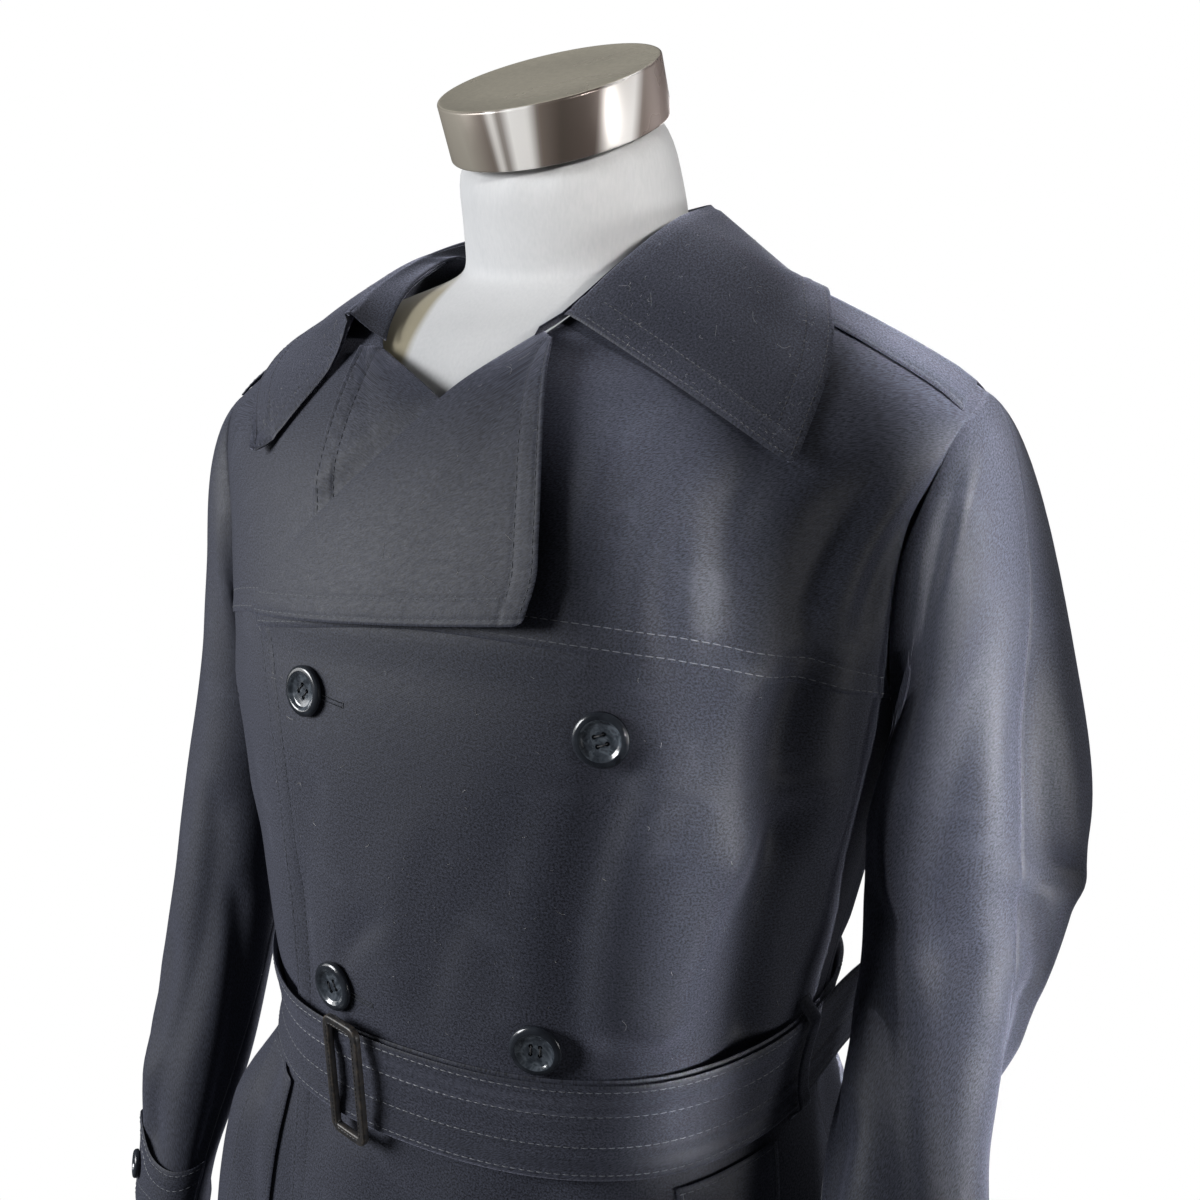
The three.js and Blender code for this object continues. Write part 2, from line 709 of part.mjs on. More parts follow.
for (const [side, name] of [[1, 'left'], [-1, 'right']]) {
  addPanel(`epaulette_${name}`, ridgeStrap(side, STRAP_REST + CLOTH), ridgeStrap(side, STRAP_REST));
}

// Sleeves

// Armhole points in the panels' own rows: down the front from the shoulder, then up the back
function armholeLoop(side) {
  const front = yokeGrid(side, 0).map((line) => line[FRONT_COLUMNS]).reverse();
  const chest = frontGrid(side, 0).map((line) => line[FRONT_COLUMNS]).reverse();
  const under = chest.slice(1, CHEST_ROWS + 1);
  const back = backGrid(side, 0).map((line) => line[BACK_COLUMNS]);
  const behind = back.slice(BODY_ROWS.length);
  return { points: [...front, ...under, ...behind], frontCount: front.length + under.length };
}

function loopShares(loop) {
  const points = loop.points;
  const lengths = [0];
  for (let i = 1; i < points.length; i += 1) {
    lengths.push(lengths[i - 1] + points[i].distanceTo(points[i - 1]));
  }
  const under = loop.frontCount - 1;
  const total = lengths[lengths.length - 1];
  return lengths.map((length, i) => (i <= under
    ? 0.5 * length / lengths[under]
    : 0.5 + 0.5 * (length - lengths[under]) / (total - lengths[under])));
}

function sleeveRing(side, rows, step, share) {
  const row = read(rows, 'step', step);
  const turn = radians(row.turn);
  const round = radians(row.seam + 360 * share);
  const along = row.wide * Math.cos(round);
  const over = (Math.sin(round) > 0 ? row.thin : row.inner) * Math.sin(round);
  const x = row.x + along * Math.cos(turn) + over * Math.sin(turn);
  const y = row.y + along * Math.sin(turn) - over * Math.cos(turn);
  return point(side * x, y, row.z + sleeveTilt(row, x, step));
}

// The cuff end hangs square to the sleeve, so lower rings lean with the forearm
function sleeveTilt(row, x, step) {
  return (x - row.x) * 0.12 * smooth(step / 3);
}

function sleeveGrid(side, rows) {
  const loop = armholeLoop(side);
  const shares = loopShares(loop);
  const result = [];
  for (const climb of CAP_STEPS) {
    result.push(loop.points.map((start, i) => capPoint(side, rows, start, shares[i], climb)));
  }
  for (let r = 0; r <= SLEEVE_STEPS; r += 1) {
    const step = r / SLEEVE_STEPS * 8;
    result.push(shares.map((share) => sleeveRing(side, rows, step, share)));
  }
  return { lines: result, frontCount: loop.frontCount };
}

function capPoint(side, rows, start, share, climb) {
  const end = sleeveRing(side, rows, 0, share);
  const next = sleeveRing(side, rows, 0.3, share);
  const round = radians(360 * share);
  const top = 0.5 + 0.5 * Math.cos(round);
  const leave = point(side * mix(1.0, 0.92, top), -0.32 * Math.sin(round), mix(-0.25, -0.5, top)).normalize();
  const arrive = next.sub(end).normalize();
  const reach = start.distanceTo(end);
  const from = start.clone().addScaledVector(leave, 0.45);
  const t = climb;
  const h01 = t * t * (3 - 2 * t);
  const h10 = t * (1 - t) * (1 - t);
  const h11 = -t * t * (1 - t);
  const p = from.multiplyScalar(1 - h01).addScaledVector(end, h01);
  const leaveReach = mix(0.9, 0.62, top) * Math.min(reach, 150);
  return p.addScaledVector(leave, h10 * leaveReach).addScaledVector(arrive, h11 * reach * 0.9);
}

function gridNormals(lines, centreAt) {
  return lines.map((line, r) => line.map((p, c) => {
    const count = line.length;
    const across = line[(c + 1) % count].clone().sub(line[(c - 1 + count) % count]);
    const below = lines[Math.min(r + 1, lines.length - 1)][c];
    const above = lines[Math.max(r - 1, 0)][c];
    const normal = across.cross(below.clone().sub(above)).normalize();
    if (normal.dot(p.clone().sub(centreAt[r])) < 0) normal.negate();
    return normal;
  }));
}

function lineCentre(line) {
  const sum = point(0, 0, 0);
  for (const p of line) sum.add(p);
  return sum.multiplyScalar(1 / line.length);
}

// The loop's last point is the shoulder again, so the ring has one column less
function buildSleeve(side, name, rows) {
  const made = sleeveGrid(side, rows);
  const ring = made.lines.map((line) => line.slice(0, -1));
  const normals = gridNormals(ring, ring.map(lineCentre));
  const inner = ring.map((line, r) => line.map((p, c) => p.clone().addScaledVector(normals[r][c], -CLOTH)));
  const under = made.frontCount - 1;
  const take = (lines, from, to) => lines.map((line) => {
    const picked = [];
    for (let c = from; c <= to; c += 1) picked.push(line[c % line.length]);
    return picked;
  });
  const last = ring[0].length;
  addPanel(`sleeve_${name}_front`, take(ring, 0, under), take(inner, 0, under), SLEEVE_SEAM);
  addPanel(`sleeve_${name}_back`, take(ring, under, last), take(inner, under, last), SLEEVE_SEAM);
}

buildSleeve(1, 'left', LEFT_SLEEVE);
buildSleeve(-1, 'right', RIGHT_SLEEVE);

function ringOut(side, rows, step, share) {
  const across = sleeveRing(side, rows, step, share + 0.01).sub(sleeveRing(side, rows, step, share - 0.01));
  const down = sleeveRing(side, rows, step + 0.05, share).sub(sleeveRing(side, rows, step - 0.05, share));
  const normal = across.cross(down).normalize();
  const row = read(rows, 'step', step);
  const away = sleeveRing(side, rows, step, share).sub(point(side * row.x, row.y, row.z));
  return normal.dot(away) < 0 ? normal.negate() : normal;
}

function cuffPoint(side, rows, share, offset, lift) {
  const row = read(rows, 'step', CUFF_STRAP_STEP);
  const ahead = read(rows, 'step', CUFF_STRAP_STEP + 1);
  const stepLength = Math.hypot(ahead.x - row.x, ahead.y - row.y, ahead.z - row.z);
  const step = CUFF_STRAP_STEP - offset / stepLength;
  return sleeveRing(side, rows, step, share).addScaledVector(ringOut(side, rows, step, share), lift);
}

function strapGrid(side, rows, lift) {
  const first = CUFF_STRAP[0].share;
  const last = CUFF_STRAP[CUFF_STRAP.length - 1].share;
  return grid(3, 16, (r, c) => {
    const share = mix(first, last, c / 16);
    const edge = read(CUFF_STRAP, 'share', share);
    return cuffPoint(side, rows, share, mix(edge.foot, edge.head, r / 3), lift);
  });
}

for (const [side, name, rows] of [[1, 'left', LEFT_SLEEVE], [-1, 'right', RIGHT_SLEEVE]]) {
  const rest = 1.0;
  const outer = strapGrid(side, rows, rest + CUFF_STRAP_CLOTH);
  addWall(`cuff_strap_${name}`, COAT, outer, strapGrid(side, rows, rest));
  const share = CUFF_BUTTON_SHARE;
  const at = cuffPoint(side, rows, share, 2, rest + CUFF_STRAP_CLOTH + 0.7);
  addButton(`cuff_button_${name}`, CUFF_BUTTON_RADIUS, at, ringOut(side, rows, CUFF_STRAP_STEP, share));
}

// Belt, loops and buckle

function waistPoint(degrees, height, lift) {
  const turn = radians(degrees > 180 ? degrees - 360 : degrees);
  const level = levelAt((at) => skin(turn, at).z, height);
  return skin(turn, level).addScaledVector(outward(turn, level), lift);
}

function beltGrid(lift) {
  const first = BELT[0].turn;
  const last = BELT[BELT.length - 1].turn;
  return grid(2, BELT_COLUMNS, (r, c) => {
    const turn = mix(first, last, c / BELT_COLUMNS);
    const row = read(BELT, 'turn', turn);
    const height = row.height + mix(-0.5, 0.5, r / 2) * BELT_WIDTH;
    return waistPoint(turn >= 360 ? turn - 360 : turn, height, row.lift + lift);
  });
}

addPanel('belt', beltGrid(BELT_CLOTH), beltGrid(0));

function loopGrid(side, turn, top, cloth) {
  return grid(8, 1, (r, c) => {
    const share = r / 8;
    const height = mix(LOOP.foot, LOOP.head, share);
    const ends = Math.min(share, 1 - share) * 8;
    const lift = mix(REST, top, smooth(ends)) + cloth;
    const degrees = side * (turn + mix(-1, 1, c) * LOOP.half / 3);
    return waistPoint(degrees, height, lift);
  });
}

for (const loop of LOOPS) {
  const name = `belt_loop_${loop.side > 0 ? 'left' : 'right'}`;
  const outer = loopGrid(loop.side, loop.turn, loop.lift, LOOP.cloth);
  addWall(name, COAT, outer, loopGrid(loop.side, loop.turn, loop.lift, 0));
}

function roundedPath(width, height, corner, count) {
  const path = [];
  const corners = [[1, 1, 0], [-1, 1, 90], [-1, -1, 180], [1, -1, 270]];
  for (const [sx, sy, start] of corners) {
    for (let i = 0; i <= count; i += 1) {
      const turn = radians(start + 90 * i / count);
      const x = sx * (width / 2 - corner) + corner * Math.cos(turn);
      const y = sy * (height / 2 - corner) + corner * Math.sin(turn);
      path.push({ x, y, outX: Math.cos(turn), outY: Math.sin(turn) });
    }
  }
  return path;
}

function frameAt(origin, normal, upHint) {
  const across = upHint.clone().cross(normal).normalize();
  const up = normal.clone().cross(across).normalize();
  return (x, y, lift) => {
    const at = origin.clone().addScaledVector(across, x);
    return at.addScaledVector(up, y).addScaledVector(normal, lift);
  };
}

function addBuckle() {
  const spot = frontSpot(BUCKLE.x, BUCKLE.z);
  const normal = outward(spot.turn, spot.level);
  const seat = skin(spot.turn, spot.level).addScaledVector(normal, BUCKLE.lift);
  const facing = normal.clone().applyAxisAngle(point(0, 0, 1), radians(BUCKLE.lean));
  const to = frameAt(seat, facing, point(0, 0, 1));
  const path = roundedPath(BUCKLE.width - BUCKLE.bar, BUCKLE.height - BUCKLE.bar, BUCKLE.corner, 3);
  const sides = 6;
  const points = [];
  for (const step of path) {
    for (let i = 0; i < sides; i += 1) {
      const round = 2 * Math.PI * i / sides;
      const out = BUCKLE.bar / 2 * Math.cos(round);
      const lift = BUCKLE.thick / 2 * (1 + Math.sin(round));
      points.push(to(step.x + step.outX * out, step.y + step.outY * out, lift));
    }
  }
  const faces = [];
  for (let a = 0; a < path.length; a += 1) {
    const b = (a + 1) % path.length;
    for (let i = 0; i < sides; i += 1) {
      const j = (i + 1) % sides;
      const [p, q] = [a * sides, b * sides];
      faces.push([p + i, q + i, q + j], [p + i, q + j, p + j]);
    }
  }
  addSolid('buckle', LEATHER, points, faces);
}

addBuckle();

// Pocket welts

function weltGrid(side, lift) {
  return grid(8, 3, (r, c) => {
    const down = r / 8;
    const half = mix(-WELT.half, WELT.half, c / 3);
    const x = mix(WELT.topX, WELT.footX, down) + half;
    const z = mix(WELT.topZ, WELT.footZ, down) + half * 0.17;
    const spot = frontSpot(side * x, z);
    const make = side > 0 ? overPoint : underPoint;
    return make(spot.turn, spot.level, lift);
  });
}

for (const [side, name] of [[1, 'left'], [-1, 'right']]) {
  addWall(`pocket_welt_${name}`, COAT, weltGrid(side, REST + 0.6 + WELT.cloth), weltGrid(side, REST + 0.6));
}

// Buttons

function addTurned(name, material, to, profile, segments) {
  const points = [];
  for (const step of profile) {
    for (let i = 0; i < segments; i += 1) {
      const round = 2 * Math.PI * i / segments;
      points.push(to(step.radius * Math.cos(round), step.radius * Math.sin(round), step.height));
    }
  }
  const faces = [];
  for (let r = 0; r < profile.length - 1; r += 1) {
    for (let i = 0; i < segments; i += 1) {
      const j = (i + 1) % segments;
      const a = r * segments;
      const b = a + segments;
      faces.push([a + i, a + j, b + j], [a + i, b + j, b + i]);
    }
  }
  const foot = points.push(to(0, 0, profile[0].height)) - 1;
  const head = points.push(to(0, 0, profile[profile.length - 1].height)) - 1;
  const last = (profile.length - 1) * segments;
  for (let i = 0; i < segments; i += 1) {
    const j = (i + 1) % segments;
    faces.push([foot, j, i], [head, last + i, last + j]);
  }
  addSolid(name, material, points, faces);
}

function buttonProfile(radius) {
  return table('radius height', [
    [0.75 * radius, 0], [0.97 * radius, 0.9], [radius, 2.2], [0.92 * radius, 3.4], [0.78 * radius, 3.3],
    [0.68 * radius, 2.2],
  ]);
}

function addButton(name, radius, at, normal) {
  addTurned(name, HORN, frameAt(at, normal, point(0, 0, 1)), buttonProfile(radius), 16);
}

FRONT_BUTTONS.forEach((spot, i) => {
  const seat = frontSpot(spot.x, spot.z);
  const at = overPoint(seat.turn, seat.level, spot.lift);
  addButton(`button_${BUTTON_NAMES[i]}`, BUTTON_RADIUS, at, outward(seat.turn, seat.level));
});

// Dress form

function formPoint(row, round) {
  const s = Math.sin(round);
  const c = Math.cos(round);
  const square = mix(SQUARENESS, 2, smooth((row.height - 1480) / 30));
  const reach = (Math.abs(s) ** square + Math.abs(c) ** square) ** (-1 / square);
  const depth = -(c > 0 ? row.front : row.back) * reach * c;
  const tilt = radians(row.tilt);
  const y = row.middle + depth * Math.cos(tilt);
  return point(row.half * reach * s, y, row.height + depth * Math.sin(tilt));
}

function addForm() {
  const points = [];
  for (const row of FORM) {
    for (let i = 0; i < FORM_COLUMNS; i += 1) {
      const p = formPoint(row, 2 * Math.PI * i / FORM_COLUMNS);
      const onRidge = Math.abs(p.y - BODY[13].middle) < 14;
      if (row.height > 1100 && row.height < 1520) keepBelow(p, CLOTH + (onRidge ? 0.6 : 2.2));
      points.push(p);
    }
  }
  const faces = [];
  for (let r = 0; r < FORM.length - 1; r += 1) {
    for (let i = 0; i < FORM_COLUMNS; i += 1) {
      const j = (i + 1) % FORM_COLUMNS;
      const a = r * FORM_COLUMNS;
      const b = a + FORM_COLUMNS;
      faces.push([a + i, a + j, b + j], [a + i, b + j, b + i]);
    }
  }
  const foot = points.push(point(0, FORM[0].middle, FORM[0].height)) - 1;
  const top = FORM[FORM.length - 1];
  const head = points.push(point(0, top.middle, top.height)) - 1;
  const last = (FORM.length - 1) * FORM_COLUMNS;
  for (let i = 0; i < FORM_COLUMNS; i += 1) {
    const j = (i + 1) % FORM_COLUMNS;
    faces.push([foot, j, i], [head, last + i, last + j]);
  }
  addSolid('form_torso', JERSEY, points, faces);
}

addForm();

const capAxis = point(0, -Math.sin(radians(CAP.tilt)), Math.cos(radians(CAP.tilt)));
const capFrame = frameAt(point(CAP.x, CAP.y, CAP.z), capAxis, point(1, 0, 0));
addTurned('form_cap', STEEL, capFrame, table('radius height', [
  [CAP.radius - 0.6, 0], [CAP.radius, 0.6], [CAP.radius, CAP.height - 1.5], [CAP.radius - 1.5, CAP.height],
]), 36);

addTurned('form_base', STEEL, point, table('radius height', [
  [BASE.radius, 0], [BASE.radius, BASE.height - 2], [BASE.radius - 2, BASE.height],
  [BASE.hub, BASE.height + 3],
  [BASE.hub - 3, BASE.hubHeight],
]), 40);
addTurned('form_pole', STEEL, point, table('radius height', [
  [POLE_RADIUS, BASE.hubHeight + SEAM / 2], [POLE_RADIUS, FORM[0].height - SEAM],
]), 20);

export default group;
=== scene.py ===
"""A belted double-breasted trench coat on a limbless dress form, dressed for Blender.

The coat's surfaces are worked out in millimetres from the same tables as the solids, and meshes are
written in metres. The coat's front faces -Y and the wearer's left is +X, which is side 1.
"""

import math

import bmesh
import bpy
import numpy as np
from mathutils import Matrix, Vector
from mathutils.kdtree import KDTree


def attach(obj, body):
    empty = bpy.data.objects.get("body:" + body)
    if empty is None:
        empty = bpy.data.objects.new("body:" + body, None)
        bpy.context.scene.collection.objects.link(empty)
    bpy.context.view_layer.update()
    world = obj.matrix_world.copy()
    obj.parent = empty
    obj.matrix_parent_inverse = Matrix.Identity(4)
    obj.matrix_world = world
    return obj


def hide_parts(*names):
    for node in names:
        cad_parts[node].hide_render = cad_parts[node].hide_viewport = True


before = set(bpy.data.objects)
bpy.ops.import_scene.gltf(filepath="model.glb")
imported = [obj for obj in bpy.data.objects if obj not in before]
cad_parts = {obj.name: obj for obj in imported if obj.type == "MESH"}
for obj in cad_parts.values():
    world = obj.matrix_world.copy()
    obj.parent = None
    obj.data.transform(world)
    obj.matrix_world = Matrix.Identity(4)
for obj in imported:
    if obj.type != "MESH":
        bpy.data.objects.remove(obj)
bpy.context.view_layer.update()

MM = 0.001
SIDES = ((1, "left"), (-1, "right"))
UP = np.array([0, 0, 1.0])
LEVELLED = np.array([1, 1, 0])

# Camera and light

CAMERA_PLACE = (356.9, -625.0, 1479.1)
CAMERA_TARGET = (8.17, 22.65, 1315.5)
CAMERA_ROLL = -0.799
CAMERA_LENS = 37.5
CAMERA_SENSOR = 36
CAMERA_FAR = 50
BACKGROUND_WHITE = 1.0
FILL_LIGHT = 0.06
FILL_TINT = (0.92, 0.95, 1.0)
WHITE = (1, 1, 1)
BLACK = (0, 0, 0)
WARM = (1.0, 0.985, 0.98)
ALL_ROUND = 180

# name, place, target, width and height, power, colour, spread in degrees
LIGHTS = [
    ("window_left", (-1.4, -1.45, 1.9), (0, 0, 1.25), (0.8, 0.8), 57, (0.975, 0.985, 1.0), ALL_ROUND),
    ("window_right", (2.0, -0.15, 1.15), (0.15, -0.05, 1.2), (0.3, 0.7), 12.5, (1.0, 0.99, 0.985), ALL_ROUND),
    ("side_left", (-1.9, -0.9, 1.5), (-0.2, 0, 1.25), (0.6, 0.9), 8, (0.98, 0.99, 1.0), ALL_ROUND),
    ("sleeve_strip", (1.31, -0.64, 1.4), (0.27, -0.04, 1.12), (0.03, 0.8), 0.9, WARM, 4),
    ("chest_strip", (1.18, -0.722, 1.34), (0.138, -0.122, 1.26), (0.03, 0.4), 0.15, WARM, 3),
    ("neck", (1.15, -0.75, 1.8), (0.01, 0, 1.54), (0.12, 0.12), 0.08, (1.0, 0.975, 0.95), 10),
    ("rim", (1.3, 1.6, 1.9), (0.1, 0, 1.3), (0.9, 1.2), 2.5, WHITE, ALL_ROUND),
    ("back", (-0.7, 2.3, 1.5), (0, 0, 1.1), (1.0, 1.0), 26, WHITE, ALL_ROUND),
    ("top", (0.2, 0.5, 2.9), (0, 0, 1.3), (1.2, 0.8), 3, WHITE, ALL_ROUND),
]

# Cloth

CLOTH = 1.3
SOLID_CLOTH = 1.6
SEAM = 0.16
REST = 0.4
OVERLAP = 2.6
TUCKED_LAPEL = 3.0
TUCKED_LAPEL_FROM, TUCKED_LAPEL_SPAN = 1308, 26
OVERLAP_TOP, OVERLAP_TOP_SPAN = 1440, 36
OVERLAP_FULL_X = 100
OVERLAP_END_X = 160
RIDGE_LEVEL = 13
ARMPIT_LEVEL = 7
SQUARENESS = 2.3
SHOULDER_DROOP = 1.6
YOKE_LAP = 0.9
YOKE_LAP_WIDTH = 9
YOKE_OVERHANG = 1.2
COARSE = 4.6
FINE = 1.3
HIDDEN_COARSE = 8.0
BACK_COARSE = 5.2
SEWN_SINK, SEWN_WIDTH = 0.3, 1.2
BELT_SINK, BELT_SINK_WIDTH = 0.4, 1.1
TURNED_IN_SWELL, TURNED_IN_FADE = 0.2, 3.5
PUCKER = 0.1
EDGE_BULGE = 0.42
EDGE_EASE = 0.12

# level, height, half width, shift to the left side, front depth, back depth, middle, side height
BODY = np.array([
    [0, 470, 262, -20, 196, 188, 0, 470],
    [1, 700, 236, -20, 180, 168, 0, 700],
    [2, 930, 210, -19, 163, 146, -2, 930],
    [3, 1045, 176, -13, 146, 130, -6, 1045],
    [4, 1082, 168, -10, 140, 124, -10, 1082],
    [5, 1125, 175, -9, 146, 128, -8, 1125],
    [6, 1200, 189, -6, 150, 130, -2, 1200],
    [7, 1262, 202, -3, 151, 126, 0, 1262],
    [8, 1320, 212, -1, 147, 122, 2, 1316],
    [9, 1380, 222, 0, 132, 116, 4, 1366],
    [10, 1432, 236, 0, 110, 111, 6, 1402],
    [11, 1480, 248, 0, 76, 94, 7, 1418],
    [12, 1513, 256, 0, 40, 55, 7, 1423],
    [13, 1533, 260, 0, 0, 0, 7, 1426],
], dtype=float)

# turn in degrees, foot, head, fade, depth, half width in degrees
FOLDS = np.array([
    [52, 1130, 1290, 60, 3.5, 9],
    [66, 1110, 1240, 50, -3.0, 8],
    [38, 1120, 1210, 40, -2.0, 7],
    [-62, 1110, 1260, 60, 3.0, 9],
    [150, 1130, 1320, 80, 3.0, 10],
    [-132, 1125, 1300, 80, 3.5, 10],
    [18, 400, 1050, 180, 5.0, 9],
    [44, 400, 1055, 160, 8.0, 10],
    [68, 400, 1055, 140, -6.0, 9],
    [-54, 400, 1058, 70, 17.0, 15],
    [-84, 400, 1050, 140, -5.0, 9],
    [112, 400, 1052, 140, 8.0, 11],
    [138, 400, 1045, 170, -6.0, 10],
    [-118, 400, 1052, 140, 8.0, 11],
    [-146, 400, 1045, 160, -7.0, 10],
], dtype=float)

# Creases laid one by one: turn and height of each end, depth (ridges above 0, troughs below), the half
# width on its sharp side, and how much softer the other side is. Belt heights stay flat for ridges.
BODY_CREASES = np.array([
    [31, 1288, 29.5, 1112, -4.5, 9, 1.6],
    [36.5, 1276, 33, 1126, 3.5, 9, 1.5],
    [43.5, 1256, 35, 1136, 3.2, 9, 1.6],
    [44, 1412, 46.5, 1306, 5.1, 15, 1.4],
    [46, 1330, 50, 1222, 6.2, 14, 1.4],
    [49.5, 1240, 41.5, 1116, 7.2, 14, 1.4],
    [52, 1326, 57, 1226, -9.5, 14, 1.3],
    [57.5, 1244, 61, 1106, -10.5, 15, 1.3],
    [60, 1326, 66, 1244, 2, 11, 1.5],
    [67, 1262, 80, 1146, 2, 12, 1.5],
    [-7, 1178, -16, 1144, -2.8, 5, 1.6],
    [11, 1206, 3, 1132, -1.9, 8, 1.6],
    [1, 1240, -5, 1126, 1.5, 10, 1.6],
    [18, 1262, 15, 1150, -1.6, 10, 1.6],
    [-20, 1250, -22, 1140, -1.5, 10, 1.6],
    [-26, 1190, -24, 1108, -2.5, 7, 1.6],
    [26.5, 1446, 26.5, 1338, -3, 8, 1.6],
    [31, 1382, 34, 1330, -3.8, 4.5, 1.8],
    [22, 1420, 20, 1346, 2.2, 9, 1.6],
    [36.5, 1412, 42, 1332, -3.5, 9, 1.5],
    [33, 1420, 36, 1350, 2.6, 7, 1.6],
    [-52, 1290, -58, 1190, 3.2, 14, 1.6],
    [-66, 1266, -60, 1116, -4.4, 12, 1.6],
    [-76, 1262, -80, 1120, 3.6, 13, 1.5],
    [9, 1062, 13, 960, 1.6, 10, 1.5],
    [24, 1066, 30, 900, -3.4, 12, 1.6],
    [40, 1064, 44, 930, 2.6, 11, 1.6],
    [54, 1060, 60, 900, 3, 13, 1.6],
    [-10, 1062, -8, 880, 1.8, 14, 1.5],
    [-22, 1062, -26, 860, -2.4, 14, 1.5],
    [-43, 1058, -37, 950, -3.4, 10, 1.7],
    [-66, 1056, -72, 900, -4, 14, 1.6],
    [100, 1270, 104, 1110, -3, 13, 1.6],
    [118, 1250, 112, 1108, 2.6, 15, 1.6],
    [132, 1290, 138, 1106, -3.2, 14, 1.7],
    [158, 1240, 162, 1110, 2.2, 16, 1.5],
    [172, 1300, 168, 1112, -2.2, 13, 1.6],
    [-112, 1260, -106, 1106, 2.8, 14, 1.6],
    [-122, 1220, -128, 1108, -3, 12, 1.7],
    [-150, 1280, -146, 1106, -2.6, 15, 1.6],
    [-164, 1230, -168, 1110, 2, 15, 1.5],
    [96, 1060, 92, 820, -3.5, 16, 1.6],
    [126, 1060, 130, 800, 3, 18, 1.5],
    [160, 1058, 156, 780, -3.2, 18, 1.6],
    [-100, 1060, -98, 840, 3, 16, 1.6],
    [-132, 1060, -136, 790, -3.4, 18, 1.6],
    [-160, 1058, -158, 760, 2.6, 18, 1.5],
    [60, 1408, 57, 1340, 3.8, 8, 1.6],
    [53, 1396, 50, 1336, -3.4, 8, 1.6],
    [66, 1400, 62, 1336, -3.4, 7, 1.6],
    [43, 1376, 45, 1336, -2.4, 8, 1.6],
], dtype=float)
BELT_FOOT = 1050
BELT_HEAD = 1116
BELT_FADE = 26
BELT_TROUGH = 22
DEGREE_LENGTH = 2.95
BODY_CREASE_FADE = 40
CREASE_BEND = 0.05
SLEEVE_CREASE_FADE = 36

# level, x
FRONT_EDGE = np.array([
    [0, -122], [1, -118], [2, -113], [3, -111], [4, -105], [5, -102], [6, -107], [7, -111],
    [8.25, -123],
], dtype=float)
UNDER_EDGE_X = 92
LEFT_NECKLINE = np.array([
    [8.0, -122], [8.4, -113], [9, -77], [9.6, -40], [10.1, -12], [10.9, 30], [11.4, 47], [12, 64],
    [13, 76],
], dtype=float)
RIGHT_NECKLINE = np.array([
    [8.0, 92], [8.6, 92], [9.2, 62], [9.7, 20], [10.1, -12], [10.7, -62], [11.0, -77], [12, -84],
    [13, -84],
], dtype=float)
NECKLINES = {1: LEFT_NECKLINE, -1: RIGHT_NECKLINE}
BACK_NECKLINE = np.array([
    [11.1, 0], [11.25, 26], [11.6, 48], [12.2, 66], [13, 76],
], dtype=float)
NECK_SHARE = 0.4
NECK_FRONT_SHARE = 0.42
NECK_FRONT_LEVELS = {1: 11.0, -1: 10.95}

# level, front share, back share of the half width
ARMHOLE = np.array([
    [7, 1.0, 1.0], [7.5, 0.985, 0.985], [8, 0.962, 0.965], [9, 0.937, 0.945], [10, 0.932, 0.93],
    [11, 0.915, 0.915], [12, 0.902, 0.902], [13, 0.892, 0.892],
], dtype=float)

# share, level
YOKE_SEAM = np.array([[0, 8.05], [0.3, 8.24], [0.6, 8.18], [0.8, 8.0], [1, 7.66]], dtype=float)

LAPELS = {
    1: {"tip": (66, 1340), "notch": (42, 1464), "levels": (8.14, 10.9), "proud": 9, "bow": 4.5},
    -1: {"tip": (-84, 1348), "notch": (-83, 1464), "levels": (8.75, 10.85), "proud": 5, "bow": 0},
}
ROLL_COLUMNS = 6

# share, fold x y z, edge x y z
COLLAR = np.array([
    [0, 43, -72, 1484, 168, -88, 1414],
    [0.12, 64, -50, 1510, 166, -38, 1456],
    [0.24, 76, -14, 1531, 147, 8, 1487],
    [0.37, 69, 42, 1541, 105, 86, 1477],
    [0.5, 0, 88, 1538, 0, 116, 1452],
    [0.63, -68, 52, 1533, -112, 86, 1466],
    [0.76, -92, 4, 1520, -160, 26, 1474],
    [0.88, -103, -36, 1500, -186, -36, 1450],
    [1, -98, -70, 1486, -146, -100, 1412],
], dtype=float)
COLLAR_ROUND = 15.5
COLLAR_ROUND_WAY = (0.73, 0.39, -0.55)
STAND_FRONT_LEVEL = 10.84
STAND_FRONT_RISE = 7
STAND_FRONT_FOOT = 3

STRAP = {"inner": 112, "outer": 226, "inner_half": 20, "outer_half": 25, "middle": 6, "rest": 0.7}

# step, x, y, z, wide, thin, inner, turn, seam
LEFT_SLEEVE = np.array([
    [0, 238.5, 2, 1222, 61.5, 43, 22, 42, 88],
    [1, 238, 0, 1190, 57.5, 43, 26, 38, 84],
    [2, 234.5, -7, 1150, 50.5, 42, 28, 30, 70],
    [3, 227, -22, 1108, 44, 41, 30, 22, 40],
    [4, 222, -44, 1060, 41.5, 38, 33, 16, 10],
    [5, 227, -66, 1010, 43, 37, 35, 13, 4],
    [6, 233, -88, 950, 42, 36, 35, 12, 2],
    [7, 237, -106, 890, 41, 36, 35, 12, 0],
    [8, 241, -118, 836, 41, 37, 36, 12, 0],
], dtype=float)
RIGHT_SLEEVE = np.array([
    [0, 253.5, 0, 1222, 62, 41, 26, 42, 74],
    [1, 262, -5, 1185, 60, 39, 30, 40, 66],
    [2, 266.5, -13, 1140, 58, 38.5, 32, 38, 56],
    [3, 270, -23, 1090, 56, 38, 35, 38, 46],
    [4, 276, -38, 1030, 54, 37, 36, 39, 38],
    [5, 281, -55, 975, 52, 36, 35, 40, 32],
    [6, 284, -74, 915, 51, 26, 24, 43, 28],
    [7, 286, -89, 860, 51, 24, 23, 45, 26],
    [8, 288, -101, 812, 51, 25, 24, 45, 26],
], dtype=float)
SLEEVES = {1: LEFT_SLEEVE, -1: RIGHT_SLEEVE}
SLEEVE_LAST_STEP = 8
SLEEVE_STEP_LENGTH = 52.0
